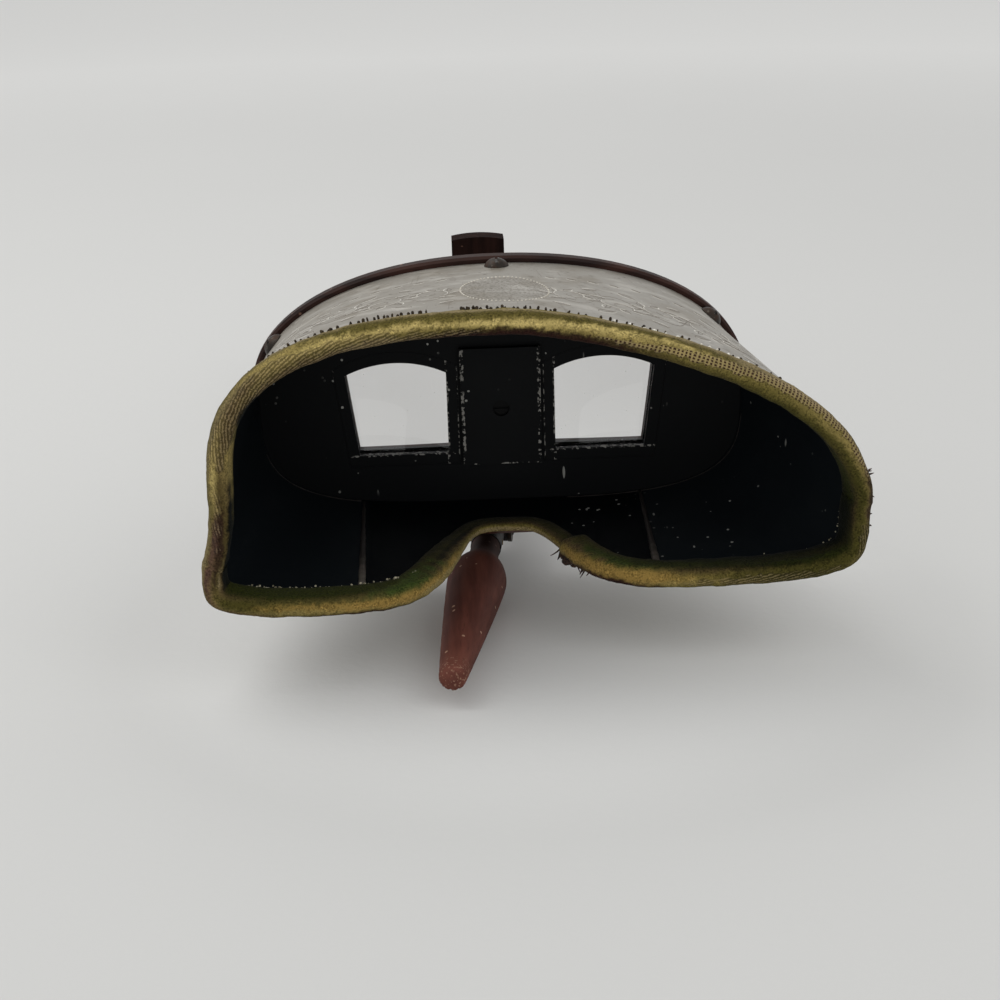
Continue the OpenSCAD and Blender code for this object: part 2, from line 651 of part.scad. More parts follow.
wire_r = wire_d / 2;
wire_span = crossbar_l - 2 * wire_inset;
wire_y = -3;
wire_z = bar_top + wire_r + 0.5;
loop_pitch = card_gap + wire_d;
staple_wire_r = 0.6;
staple_leg = wire_r + run_gap + staple_wire_r;
staple_bite = 5.5;
staple_x = [wire_span / 2 - loop_w + 4, wire_span / 2 - 5];
module wire_staples() color(brass) at_carriage() both_sides() for (x = staple_x)
    translate([x, wire_y, wire_z])
        bent_wire([[0, -staple_leg, -staple_bite], [0, -staple_leg, staple_leg],
            [0, staple_leg, staple_leg], [0, staple_leg, -staple_bite]], staple_wire_r, staple_leg - seat_gap);

// Round wire along points joined by square bends
module bent_wire(points, r, bend) {
    last = len(points) - 1;
    for (i = [0 : last - 1]) {
        a = points[i];
        b = points[i + 1];
        way = unit(b - a);
        from = a + way * (i == 0 ? 0 : bend);
        run = norm(b - a) - (i == 0 ? 0 : bend) - (i == last - 1 ? 0 : bend);
        translate(from) rotate([0, acos(way[2]), atan2(way[1], way[0])]) cylinder(r = r, h = run, $fn = 24);
    }
    for (i = [1 : last - 1]) {
        into = unit(points[i] - points[i - 1]);
        leave = unit(points[i + 1] - points[i]);
        side = cross(into, leave);
        centre = points[i] - into * bend + leave * bend;
        multmatrix([[-leave[0], into[0], -side[0], centre[0]], [-leave[1], into[1], -side[1], centre[1]],
            [-leave[2], into[2], -side[2], centre[2]], [0, 0, 0, 1]])
            rotate_extrude(angle = 90) translate([bend, 0]) circle(r, $fn = 24);
    }
}
// Wire holder on the right, folded towards the viewer: the loops lie along -Y
module card_wire() color(dark_iron) at_carriage() translate([wire_span / 2 - loop_w, wire_y, wire_z])
    bent_wire([[0, 0, 0], [loop_w, 0, 0], [loop_w, -loop_h, 0], [0, -loop_h, 0], [0, -4.5, 0],
        [0, -4.5, loop_pitch], [0, -front_loop_h, loop_pitch], [loop_w, -front_loop_h, loop_pitch],
        [loop_w, -12, loop_pitch]], wire_r, bend_r);
module card_wire_right() card_wire();
module card_wire_left() mirror([1, 0, 0]) card_wire();

lens_board();
hood();
hood_binding();
hood_screws();
lens_left();
lens_right();
lens_bead_left();
lens_bead_right();
centre_panel();
panel_screw();
septum();
septum_cleats();
rail();
rail_screws();
end_stop();
end_stop_screw();
swivel_screw();
handle_bracket();
handle_pin();
handle();
handle_ferrule();
ferrule_rivet();
crossbar();
keeper_plate();
keeper_screws();
friction_spring();
wire_staples();
card_wire_left();
card_wire_right();
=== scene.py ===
"""The looks of an old hand stereoscope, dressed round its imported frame.

Lengths are metres in the frame's own axes: +X to the viewer's right, +Y away from the viewer, +Z up.
Angles run round the hood's outline from the viewer's right over the forehead to the left.
"""

import json
import logging
import math
import random
from collections.abc import Callable, Iterator, Mapping, Sequence
from dataclasses import dataclass, field, replace
from enum import Enum
from functools import cached_property
from typing import ClassVar, Union

import bpy
import numpy as np
from mathutils import Matrix, Vector, noise


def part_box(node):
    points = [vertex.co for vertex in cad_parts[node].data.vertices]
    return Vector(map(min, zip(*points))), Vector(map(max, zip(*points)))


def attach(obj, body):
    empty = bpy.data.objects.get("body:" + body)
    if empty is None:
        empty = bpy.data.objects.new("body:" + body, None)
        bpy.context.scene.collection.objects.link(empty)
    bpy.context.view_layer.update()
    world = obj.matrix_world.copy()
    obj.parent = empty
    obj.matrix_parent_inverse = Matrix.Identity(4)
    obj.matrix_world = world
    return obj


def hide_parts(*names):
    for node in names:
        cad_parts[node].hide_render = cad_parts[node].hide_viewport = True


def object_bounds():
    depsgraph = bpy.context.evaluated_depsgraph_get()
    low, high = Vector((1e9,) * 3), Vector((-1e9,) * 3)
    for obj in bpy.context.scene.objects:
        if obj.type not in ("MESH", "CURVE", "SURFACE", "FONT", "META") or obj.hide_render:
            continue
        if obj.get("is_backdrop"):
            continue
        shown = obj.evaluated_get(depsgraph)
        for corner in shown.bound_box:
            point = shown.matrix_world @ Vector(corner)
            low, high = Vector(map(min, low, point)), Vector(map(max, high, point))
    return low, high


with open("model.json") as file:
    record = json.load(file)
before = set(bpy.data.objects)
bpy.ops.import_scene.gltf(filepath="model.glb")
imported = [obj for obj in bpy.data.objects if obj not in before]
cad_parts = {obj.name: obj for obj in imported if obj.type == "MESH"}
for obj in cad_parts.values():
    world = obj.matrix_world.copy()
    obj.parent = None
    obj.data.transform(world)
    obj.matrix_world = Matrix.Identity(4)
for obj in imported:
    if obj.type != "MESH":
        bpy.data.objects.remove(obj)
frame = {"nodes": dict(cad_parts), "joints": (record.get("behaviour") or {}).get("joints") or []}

MM = 0.001
COAT_ROUGHNESS = 0.4
FLOOR_GAP = 0.2 * MM
UP = Vector((0.0, 0.0, 1.0))
log = logging.getLogger("stereoscope")

Colour = tuple[float, float, float, float]
Input = Union["Value", float, Sequence[float]]
Line = list[tuple[float, float]]


def tone(red: int, green: int, blue: int) -> Colour:
    """Turns an 8-bit display colour into linear light.

    Args:
        red: Red level, 0 to 255.
        green: Green level.
        blue: Blue level.

    Returns:
        The linear colour with full alpha.
    """

    def linear(level: int) -> float:
        """Linear light of one channel."""
        share = level / 255
        return share / 12.92 if share <= 0.04045 else ((share + 0.055) / 1.055) ** 2.4

    return (linear(red), linear(green), linear(blue), 1.0)


def operator(operation: str, reflected: bool = False) -> Callable[..., "Value"]:
    """Makes a method of Value that adds one Math node.

    Args:
        operation: The node's operation.
        reflected: Whether the value itself stands on the right.

    Returns:
        The method, whose other side may be left out where the operation has one side.
    """

    def method(value: "Value", other: Input = 0.0) -> "Value":
        """Adds the node."""
        first, second = (other, value) if reflected else (value, other)
        return value.graph.node("ShaderNodeMath", {0: first, 1: second}, operation=operation)

    return method


class Value:
    """A socket of a material's graph that takes part in Python arithmetic."""

    def __init__(self, graph: "Graph", socket: bpy.types.NodeSocket | None) -> None:
        """Keeps the graph and the socket."""
        self.graph = graph
        self.socket = socket

    __add__, __radd__ = operator("ADD"), operator("ADD", reflected=True)
    __sub__, __rsub__ = operator("SUBTRACT"), operator("SUBTRACT", reflected=True)
    __mul__, __rmul__ = operator("MULTIPLY"), operator("MULTIPLY", reflected=True)
    __truediv__, __rtruediv__ = operator("DIVIDE"), operator("DIVIDE", reflected=True)
    __gt__, __lt__ = operator("GREATER_THAN"), operator("LESS_THAN")
    __abs__, sine = operator("ABSOLUTE"), operator("SINE")
    either = operator("MAXIMUM")


class Graph:
    """The node graph of a material or of the world, which masks and layers are written into."""

    def __init__(self, holder: bpy.types.Material | bpy.types.World) -> None:
        """Empties the graph of the material or world that holds it."""
        self.holder = holder
        holder.use_nodes = True
        self.tree = holder.node_tree
        self.tree.nodes.clear()

    @cached_property
    def place(self) -> Value:
        """The object's own coordinates, in metres."""
        return self.node("ShaderNodeTexCoord", {}, out="Object")

    def node(
        self, kind: str, inputs: Mapping[int | str, Input], out: int | str = 0, **settings: object
    ) -> Value:
        """Adds a node.

        Args:
            kind: The node's type.
            inputs: Values or links of its sockets, by name or number.
            out: Name or number of the output that is wanted.
            **settings: Properties that are set before the sockets.

        Returns:
            The output as a value, without a socket where the node has no output.
        """
        made = self.tree.nodes.new(kind)
        for key, setting in settings.items():
            setattr(made, key, setting)
        for key, given in inputs.items():
            if isinstance(given, Value):
                self.tree.links.new(given.socket, made.inputs[key])
            else:
                made.inputs[key].default_value = given
        return Value(self, made.outputs[out] if made.outputs else None)

    def axes(self, vector: Value) -> tuple[Value, Value, Value]:
        """The three components of a vector."""
        split = self.node("ShaderNodeSeparateXYZ", {0: vector})
        outputs = split.socket.node.outputs
        return tuple(Value(self, outputs[i]) for i in range(3))

    def attribute(self, name: str) -> Value:
        """A vector that the mesh carries at each point."""
        return self.node("ShaderNodeAttribute", {}, out="Vector", attribute_name=name)

    def stretch(self, vector: Value, scale: Sequence[float]) -> Value:
        """A vector with each axis scaled."""
        return self.node("ShaderNodeVectorMath", {0: vector, 1: scale}, operation="MULTIPLY")

    def noise(self, scale: float, detail: float = 3.0, vector: Value | None = None) -> Value:
        """Soft noise from 0 to 1, with about scale lumps in a metre."""
        inputs = {"Vector": vector or self.place, "Scale": scale, "Detail": detail, "Roughness": 0.55}
        return self.node("ShaderNodeTexNoise", inputs)

    def cells(self, scale: float, vector: Value | None = None) -> tuple[Value, Value]:
        """Distance to the nearest of scattered points, and a random share for each of them."""
        inputs = {"Vector": vector or self.place, "Scale": scale}
        distance = self.node("ShaderNodeTexVoronoi", inputs, out="Distance")
        shade = Value(self, distance.socket.node.outputs["Color"])
        return distance, self.axes(shade)[0]

    def step(self, value: Input, low: float, high: float) -> Value:
        """0 up to low, 1 from high, and smooth between; low may be the larger."""
        return self.node("ShaderNodeMapRange", {0: value, 1: low, 2: high}, interpolation_type="SMOOTHSTEP")

    def mix(self, share: Input, below: Input, above: Input) -> Value:
        """A colour that goes from below to above as share goes from 0 to 1."""
        return self.node("ShaderNodeMix", {0: share, 6: below, 7: above}, out=2, data_type="RGBA")

    def specks(self, scale: float, size: float, share: float, vector: Value | None = None) -> Value:
        """Scattered small spots.

        Args:
            scale: Cells in a metre.
            size: Radius of a spot as a share of a cell.
            share: Share of the cells that hold one.
            vector: Coordinates other than the object's own.

        Returns:
            A mask, 1 in the spots.
        """
        ragged = self.noise(scale * 2.5, 1.0, vector)
        distance, chance = self.cells(scale, vector)
        return self.step(distance + ragged * size, size * 1.6, size * 1.3) * (chance > 1.0 - share)

    def surface(self, layer: "Layer", others: Mapping[str, Input]) -> bpy.types.Material:
        """Closes the graph with a shader.

        Args:
            layer: The looks of the surface.
            others: The shader's other inputs that differ from their defaults.

        Returns:
            The finished material.
        """
        normal = self.node("ShaderNodeBump", {"Distance": 1.0, "Height": layer.height})
        inputs = {
            "Base Color": layer.colour,
            "Roughness": layer.roughness,
            "Metallic": layer.metallic,
            "Normal": normal,
        }
        shader = self.node("ShaderNodeBsdfPrincipled", {**inputs, **others})
        self.node("ShaderNodeOutputMaterial", {"Surface": shader})
        return self.holder


@dataclass(frozen=True)
class Layer:
    """What a finish gives a surface: colour, roughness, height in metres and metallic share."""

    colour: Input
    roughness: Input
    height: Value
    metallic: Input = 0.0

    def under(self, graph: Graph, mask: Value, top: "Layer") -> "Layer":
        """Lays another finish over this one.

        Args:
            graph: The graph that both belong to.
            mask: 1 where the other finish covers this one.
            top: The other finish.

        Returns:
            The two finishes as one.
        """

        def between(low: Input, high: Input) -> Input:
            """Number from low to high by the mask."""
            same = not isinstance(low, Value) and not isinstance(high, Value) and low == high
            return low if same else (high - low) * mask + low

        return Layer(
            graph.mix(mask, self.colour, top.colour),
            between(self.roughness, top.roughness),
            between(self.height, top.height),
            between(self.metallic, top.metallic),
        )


class Grain(Enum):
    """Which way a wood's grain runs, as the squeeze of its pattern on each axis."""

    ALONG_X = (0.07, 1.0, 1.0)
    ALONG_Y = (1.0, 0.07, 1.0)
    ALONG_Z = (1.0, 1.0, 0.07)


@dataclass(frozen=True)
class Finish:
    """The look of one kind of surface."""

    name: str
    fixed: ClassVar[Mapping[str, float]] = {}

    def layer(self, graph: Graph) -> Layer:
        """Writes what varies over the surface into a graph."""
        raise NotImplementedError

    def constants(self) -> Mapping[str, float]:
        """The shader's inputs that are the same all over."""
        return self.fixed

    def material(self) -> bpy.types.Material:
        """Makes the material."""
        graph = Graph(bpy.data.materials.new(self.name))
        return graph.surface(self.layer(graph), self.constants())


@dataclass(frozen=True)
class VarnishedWood(Finish):
    """Old varnished wood with streaks, pores, small dents and worn spots, and where asked, painted shade
    over a span of Y.
    """

    dark: Colour
    light: Colour
    worn: Colour
    grain: Grain
    roughness: float = 0.38
    wear: float = 0.5
    coat: float = 0.35
    gloss: float = 0.35
    painted_shade: tuple[float, float] | None = None
    battered: tuple[float, float] | None = None

    def layer(self, graph: Graph) -> Layer:
        """Writes the wood into a graph."""
        along = graph.stretch(graph.place, self.grain.value)
        streaks = graph.noise(260.0, 4.0, along)
        pores = graph.step(graph.noise(1500.0, 2.0, along), 0.6, 0.72)
        clouds = graph.noise(38.0, 2.0)
        colour = graph.mix(graph.step(streaks + clouds * 0.6, 0.55, 1.05), self.dark, self.light)
        colour = graph.mix(pores * 0.6, colour, self.dark)
        chips = graph.specks(420.0, 0.22, 0.18 * self.wear)
        rubbed = graph.step(graph.noise(60.0, 5.0), 0.78 - 0.14 * self.wear, 0.9) * self.wear
        _, y, _ = graph.axes(graph.place)
        if self.battered:
            end = graph.step(y, *self.battered)
            chips = chips.either(end * graph.step(graph.noise(1400.0, 3.0), 0.55, 0.66) * 0.5)
            colour = graph.mix(end * 0.2, colour, self.light)
        colour = graph.mix(chips.either(rubbed * 0.55), colour, self.worn)
        # Painted shade: the wood darkens over a span of Y, standing in for the hood's shadow on the
        # handle's neck.
        if self.painted_shade:
            colour = graph.mix(graph.step(y, *self.painted_shade) * 0.8, colour, tone(18, 12, 11))
        roughness = graph.noise(90.0) * 0.2 + (self.roughness - 0.1) + rubbed * 0.2
        height = streaks * (0.04 * MM) - pores * (0.03 * MM) - chips * (0.08 * MM)
        return Layer(colour, roughness, height)

    def constants(self) -> Mapping[str, float]:
        """The shader's inputs that are the same all over."""
        coat = {"Coat Weight": self.coat, "Coat Roughness": COAT_ROUGHNESS}
        return {**coat, "Specular IOR Level": self.gloss}


@dataclass(frozen=True)
class ScuffAndHighlightEdge:
    """A straight edge painted pale, where paint is scuffed off and on the lens beads also as painted
    highlight: its axis, the size of its place and its width.
    """

    axis: int
    place: float
    width: float


@dataclass(frozen=True)
class BlackPaint(Finish):
    """Flat black paint with dust, white flecks and pale edges, which are scuffs and on the lens beads
    partly painted highlight; where asked, painted shade near the middle.
    """

    name: str = "black_paint"
    base: Colour = tone(6, 8, 10)
    dusty: Colour = tone(15, 16, 18)
    fleck: Colour = tone(176, 176, 170)
    scuff_and_highlight: Colour = tone(158, 156, 150)
    flecks: float = 0.35
    flecked_from: float = -1.0
    flecked_blend: float = 12.0 * MM
    painted_shade_within: float = 0.0
    painted_shade_blend: float = 4.0 * MM
    gloss: float = 0.12
    edges: tuple[ScuffAndHighlightEdge, ...] = ()

    def layer(self, graph: Graph) -> Layer:
        """Writes the paint into a graph."""
        clouds = graph.noise(28.0, 4.0)
        fine = graph.noise(900.0, 2.0)
        colour = graph.mix(graph.step(clouds, 0.45, 0.8) * 0.7, self.base, self.dusty)
        axes = graph.axes(graph.place)
        # Painted shade: the paint darkens within a distance of the middle in X.
        if self.painted_shade_within:
            deep = graph.step(abs(axes[0]), self.painted_shade_within + self.painted_shade_blend, self.painted_shade_within)
            colour = graph.mix(deep * 0.75, colour, tone(1, 2, 3))
        patchy = graph.step(graph.noise(44.0, 1.0), 0.52, 0.64)
        patchy = patchy * graph.step(axes[0], self.flecked_from, self.flecked_from + self.flecked_blend)
        flecks = graph.specks(340.0, 0.14, self.flecks) * patchy
        scratches = graph.specks(130.0, 0.12, 0.3, graph.stretch(graph.place, (2.4, 1.0, 0.5)))
        white = flecks.either(scratches * patchy * 0.7)
        colour = graph.mix(white, colour, self.fleck)
        # Pale edges: scuffs, and on the lens beads partly painted highlight.
        if self.edges:
            rubbed = 0.0
            for edge in self.edges:
                near = graph.step(abs(abs(axes[edge.axis]) - edge.place), edge.width, edge.width * 0.6)
                broken = graph.step(graph.noise(800.0, 3.0) + near * 0.22, 0.72, 0.8)
                rubbed = (near * broken).either(rubbed)
            colour = graph.mix(rubbed * 0.9, colour, self.scuff_and_highlight)
        return Layer(colour, clouds * 0.25 + 0.42, fine * (0.03 * MM) + white * (0.05 * MM))

    def constants(self) -> Mapping[str, float]:
        """The shader's inputs that are the same all over."""
        return {"Specular IOR Level": self.gloss}


@dataclass(frozen=True)
class PaintedBoard(Finish):
    """The lens board: varnished wood outside, black inside the hood and through the windows."""

    wood: VarnishedWood
    paint: BlackPaint
    inner_face: float
    window_inner: float
    window_outer: float
    window_foot: float
    window_top: float
    window_back: float

    def material(self) -> bpy.types.Material:
        """Makes the material."""
        graph = Graph(bpy.data.materials.new(self.name))
        x, y, z = graph.axes(graph.place)
        soft = 0.1 * MM
        inside = y < self.inner_face + 2 * soft
        across = graph.step(abs(x), self.window_inner - soft, self.window_inner)
        across = across * graph.step(abs(x), self.window_outer + soft, self.window_outer)
        upright = graph.step(z, self.window_foot - soft, self.window_foot)
        upright = upright * graph.step(z, self.window_top + soft, self.window_top)
        window = across * upright * (y < self.window_back)
        wood, paint = self.wood.layer(graph), self.paint.layer(graph)
        black = inside.either(window)
        others = {
            "Coat Weight": (1.0 - black) * self.wood.coat,
            "Coat Roughness": COAT_ROUGHNESS,
            "Specular IOR Level": self.paint.gloss,
        }
        return graph.surface(wood.under(graph, black, paint), others)


@dataclass(frozen=True)
class OldSheet(Finish):
    """Dull aluminium with stains, scratches, a stippled oval and painted glints."""

    name: str = "old_aluminium"
    fixed: ClassVar[Mapping[str, float]] = {"Specular IOR Level": 0.3}
    bright: Colour = tone(146, 142, 134)
    warm: Colour = tone(122, 114, 100)
    line: Colour = tone(84, 77, 66)
    glint: Colour = tone(196, 192, 184)
    medal_middle: tuple[float, float] = (1.0 * MM, -41.0 * MM)
    medal_half: tuple[float, float] = (12.4 * MM, 18.4 * MM)
    medal_height: tuple[float, float] = (60.0 * MM, 70.0 * MM)
    warmer_to_left: tuple[float, float] = (40.0 * MM, -60.0 * MM)

    def layer(self, graph: Graph) -> Layer:
        """Writes the sheet into a graph."""
        flat = graph.attribute("sheet")
        clouds = graph.noise(24.0, 3.0)
        stains = graph.step(graph.noise(75.0, 5.0), 0.46, 0.7)
        x, y, z = graph.axes(graph.place)
        # Warmer and darker towards the left, with stains.
        brown = graph.step(x, *self.warmer_to_left) * 0.4 + stains * 0.6
        colour = graph.mix(brown, self.bright, self.warm)
        smears = graph.step(graph.noise(150.0, 3.0, graph.stretch(flat, (0.4, 1.0, 1.0))), 0.5, 0.66)
        colour = graph.mix(smears * 0.35, colour, self.glint)
        pits = graph.specks(260.0, 0.16, 0.16).either(graph.step(graph.noise(420.0, 4.0), 0.62, 0.7) * 0.6)
        colour = graph.mix(pits * 0.75, colour, self.line)
        out_x = (x - self.medal_middle[0]) / self.medal_half[0]
        out_y = (y - self.medal_middle[1]) / self.medal_half[1]
        round_it = out_x * out_x + out_y * out_y
        medal = graph.step(round_it, 1.06, 0.96) * graph.step(z, *self.medal_height)
        pounced = graph.step(graph.noise(1300.0, 2.0), 0.46, 0.66) * medal
        scratch = graph.step(graph.noise(800.0, 2.0, graph.stretch(flat, (1.0, 0.05, 1.0))), 0.64, 0.74)
        crossed = graph.step(graph.noise(600.0, 2.0, graph.stretch(flat, (0.06, 1.0, 1.0))), 0.66, 0.76)
        worn = graph.step(graph.noise(260.0, 4.0), 0.56, 0.72)
        marks = (pounced * 0.8).either(scratch * 0.4).either(worn * 0.35)
        colour = graph.mix(marks * 0.7, colour, self.line)
        # Painted glints along fine cross scratches and on small specks.
        painted_glints = crossed.either(graph.specks(420.0, 0.14, 0.06))
        colour = graph.mix(painted_glints * 0.5, colour, self.glint)
        height = graph.noise(600.0, 2.0) * (0.02 * MM) - marks * (0.06 * MM)
        return Layer(colour, clouds * 0.2 + 0.4 + marks * 0.15, height, 0.5)


@dataclass(frozen=True)
class RibbonVelvet(Finish):
    """Faded velvet ribbon, worn to its woven back in places; the mesh carries its colours and wear, and lit
    and shaded copies of its tint paint light and shade over the pile and threads.
    """

    name: str = "faded_velvet"
    fixed: ClassVar[Mapping[str, float]] = {
        "Sheen Weight": 0.03,
        "Sheen Roughness": 0.5,
        "Specular IOR Level": 0.04,
    }
    ground: Colour = tone(140, 124, 94)
    thread: Colour = tone(66, 48, 36)
    mesh_pitch: float = 1.2 * MM
    mesh_rows: float = 33.0
    twill_rows: float = 30.0
    twill_slant: float = 260.0

    def layer(self, graph: Graph) -> Layer:
        """Writes the ribbon into a graph."""
        tint = graph.attribute("tint")
        along, across, _ = graph.axes(graph.attribute("ribbon"))
        mesh, twill, _ = graph.axes(graph.attribute("wear"))
        fuzz = graph.noise(1900.0, 3.0)
        tufts = graph.noise(420.0, 3.0)
        lie = graph.noise(130.0, 2.0)
        ragged = (tufts - 0.5) * 0.7 + (fuzz - 0.5) * 0.4
        # Painted light and shade: dark and lit are shaded and lit copies of the tint, laid at random over
        # the pile.
        dark = graph.stretch(tint, (0.38, 0.38, 0.38))
        lit = graph.stretch(tint, (1.75, 1.72, 1.75))
        colour = graph.mix(graph.step(fuzz + (tufts - 0.5) * 0.3, 0.52, 0.34) * 0.75, tint, dark)
        colour = graph.mix(graph.step(fuzz - (tufts - 0.5) * 0.3, 0.54, 0.72) * 0.6, colour, lit)
        columns = (along * (math.tau / self.mesh_pitch) + (lie - 0.5) * 8.0).sine()
        rows = (across * (math.tau * self.mesh_rows) + (lie - 0.5) * 4.0).sine()
        noisy = (fuzz - 0.5) * 2.4
        dots = graph.step(columns + noisy, -0.4, 0.6) * graph.step(rows + noisy, -0.8, 0.0)
        turn = across * (math.tau * self.twill_rows) - along * (math.tau * self.twill_slant)
        strands = graph.step((turn + (lie - 0.5) * 9.0 + tufts * 6.0).sine() + noisy * 3.0, -0.9, 0.8)
        bare_mesh = graph.step(mesh + ragged, 0.4, 0.62)
        bare_twill = graph.step(twill + ragged, 0.36, 0.6)
        # The woven back is partly the lit copy, and the twill strands are painted light and shade.
        woven = graph.mix(0.45, self.ground, lit)
        colour = graph.mix(bare_mesh, colour, graph.mix(dots, woven, self.thread))
        strand = graph.mix(0.5, lit, self.ground)
        colour = graph.mix(bare_twill * 0.8, colour, graph.mix(strands, strand, dark))
        bare = bare_mesh.either(bare_twill)
        pile = (fuzz * (0.3 * MM) + tufts * (0.3 * MM)) * (1.0 - bare * 0.75)
        weave = dots * bare_mesh * (0.22 * MM) + strands * bare_twill * (0.25 * MM)
        return Layer(colour, 0.95, pile - weave)


@dataclass(frozen=True)
class OldMetal(Finish):
    """Darkened metal with stains, rubbed high spots and fine pits."""

    base: Colour
    stain: Colour
    rubbed: Colour
    metallic: float = 0.75
    roughness: float = 0.42

    def layer(self, graph: Graph) -> Layer:
        """Writes the metal into a graph."""
        stains = graph.step(graph.noise(330.0, 5.0), 0.42, 0.66)
        colour = graph.mix(stains, self.base, self.stain)
        bright = graph.step(graph.noise(850.0, 3.0), 0.6, 0.74)
        colour = graph.mix(bright * 0.7, colour, self.rubbed)
        roughness = stains * 0.2 + self.roughness
        height = graph.noise(1600.0, 2.0) * (0.04 * MM)
        return Layer(colour, roughness, height, self.metallic)


@dataclass(frozen=True)
class PlainStuff(Finish):
    """A small soft or dull thing in two colours, such as thread ends or dried glue."""

    dark: Colour
    light: Colour
    roughness: float

    def layer(self, graph: Graph) -> Layer:
        """Writes the two colours into a graph."""
        grains = graph.noise(1200.0, 2.0)
        colour = graph.mix(graph.step(grains, 0.35, 0.65), self.dark, self.light)
        return Layer(colour, self.roughness, grains * (0.1 * MM))


@dataclass(frozen=True)
class SeamPaint(Finish):
    """Dark paint that is paler towards the seam's rear end; its front tone, on the joint lines along the
    board, is partly painted highlight.
    """

    name: str = "seam_paint"
    fixed: ClassVar[Mapping[str, float]] = {"Specular IOR Level": 0.2}
    front: Colour = tone(40, 36, 34)
    rear: Colour = tone(116, 109, 100)
    front_y: float = -42.0 * MM
    rear_y: float = -76.0 * MM

    def layer(self, graph: Graph) -> Layer:
        """Writes the fading paint into a graph."""
        _, y, _ = graph.axes(graph.place)
        blotches = graph.noise(420.0, 3.0)
        # Paler towards the seam's rear end.
        worn = graph.step(y + (blotches - 0.5) * 0.02, self.front_y, self.rear_y)
        return Layer(graph.mix(worn, self.front, self.rear), 0.6, blotches * (0.1 * MM))


@dataclass(frozen=True)
class LensGlass(Finish):
    """Clear polished glass with a little dust."""

    name: str = "lens_glass"
    fixed: ClassVar[Mapping[str, float]] = {"Transmission Weight": 1.0, "IOR": 1.5}

    def layer(self, graph: Graph) -> Layer:
        """Writes the glass into a graph."""
        dust = graph.specks(700.0, 0.1, 0.12)
        colour = graph.mix(dust * 0.5, tone(255, 255, 255), tone(190, 190, 184))
        return Layer(colour, dust * 0.3 + 0.01, graph.noise(60.0, 1.0) * (0.002 * MM))


def placed(name: str, data: bpy.types.ID) -> bpy.types.Object:
    """Puts a new object with its data into the scene."""
    made = bpy.data.objects.new(name, data)
    bpy.context.scene.collection.objects.link(made)
    return made


def circle(count: int) -> list[float]:
    """Angles at even steps round a circle."""
    return [math.tau * k / count for k in range(count)]


def ring_of(spot: Vector, way: Vector, radii: Sequence[float], level: float = 0.0) -> list[Vector]:
    """Points round a spot, one for each radius, on a level along the way that the ring faces."""
    turn = way.to_track_quat("Z", "Y")
    turned = zip(circle(len(radii)), radii)
    return [spot + turn @ Vector((math.cos(a) * r, math.sin(a) * r, level)) for a, r in turned]


def heading(path: Sequence[Vector], i: int) -> Vector:
    """The way that a path runs at one of its points."""
    return path[min(i + 1, len(path) - 1)] - path[max(i - 1, 0)]


@dataclass
class MeshMaker:
    """Collects the points and faces of one piece."""

    points: list[Vector] = field(default_factory=list)
    faces: list[tuple[int, ...]] = field(default_factory=list)
    slots: list[int] = field(default_factory=list)
    lump_levels: ClassVar[tuple[float, ...]] = (-0.3, 0.25, 0.6, 0.88, 0.99)
    lump_sides: ClassVar[int] = 9
    lump_seed: ClassVar[float] = 900.0

    def add(self, face: tuple[int, ...], slot: int) -> None:
        """Adds one face with its material number."""
        self.faces.append(face)
        self.slots.append(slot)

    def band(self, low: int, high: int, size: int, slot: int = 0) -> None:
        """Joins two closed rings of a size with faces, from the numbers of their first points."""
        for j in range(size):
            after = (j + 1) % size
            self.add((low + j, low + after, high + after, high + j), slot)

    def grid(self, rings: np.ndarray, slot: int = 0, caps: bool = False) -> None:
        """Adds a skin over rings of points.

        Args:
            rings: Array of rings by points by 3; each ring is closed.
            slot: Material number of the faces.
            caps: Whether the first and last ring are filled.
        """
        start, (count, size) = len(self.points), rings.shape[:2]
        self.points.extend(Vector(p) for p in rings.reshape(-1, 3))
        last = start + (count - 1) * size
        for low in range(start, last, size):
            self.band(low, low + size, size, slot)
        if caps:
            self.add(tuple(start + j for j in reversed(range(size))), slot)
            self.add(tuple(last + j for j in range(size)), slot)

    def tube(self, path: Sequence[Vector], radii: Sequence[float], sides: int = 6) -> None:
        """Adds a closed tube along a path.

        Args:
            path: Points on its middle line.
            radii: Radius at each point.
            sides: Points round it.
        """
        rings = [ring_of(path[i], heading(path, i), [r] * sides) for i, r in enumerate(radii)]
        self.grid(np.array(rings), caps=True)

    def lump(self, spot: Vector, up: Vector, radius: float, height: float, ragged: float) -> None:
        """Adds a low rounded lump.

        Args:
            spot: Middle of its foot.
            up: The way it stands.
            radius: Radius of its foot.
            height: Its height.
            ragged: Share by which its outline wanders.
        """
        turned = (Vector((math.cos(a), math.sin(a), 0.0)) for a in circle(self.lump_sides))
        seeds = [spot * self.lump_seed + way for way in turned]
        wander = [1.0 + ragged * noise.noise(seed) for seed in seeds]
        rings = []
        for level in self.lump_levels:
            reach = radius * math.sqrt(max(0.0, 1.0 - max(0.0, level) ** 2))
            rings.append(ring_of(spot, up, [reach * share for share in wander], level * height))
        self.grid(np.array(rings), caps=True)

    def build(self, name: str, body: str, slot: str, *finishes: Finish) -> bpy.types.Object:
        """Makes the object.

        Args:
            name: The piece's name.
            body: The body that it rides on.
            slot: The record's material slot; not used.
            *finishes: Its finishes, by material number.

        Returns:
            The new object.
        """
        mesh = bpy.data.meshes.new(name)
        mesh.from_pydata(self.points, [], self.faces)
        for finish in finishes:
            mesh.materials.append(finish.material())
        mesh.polygons.foreach_set("material_index", self.slots)
        mesh.polygons.foreach_set("use_smooth", [True] * len(self.faces))
        mesh.update()
        made = placed(name, mesh)
        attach(made, body)
        log.info("%s: %d faces on %s", name, len(self.faces), body)
        return made


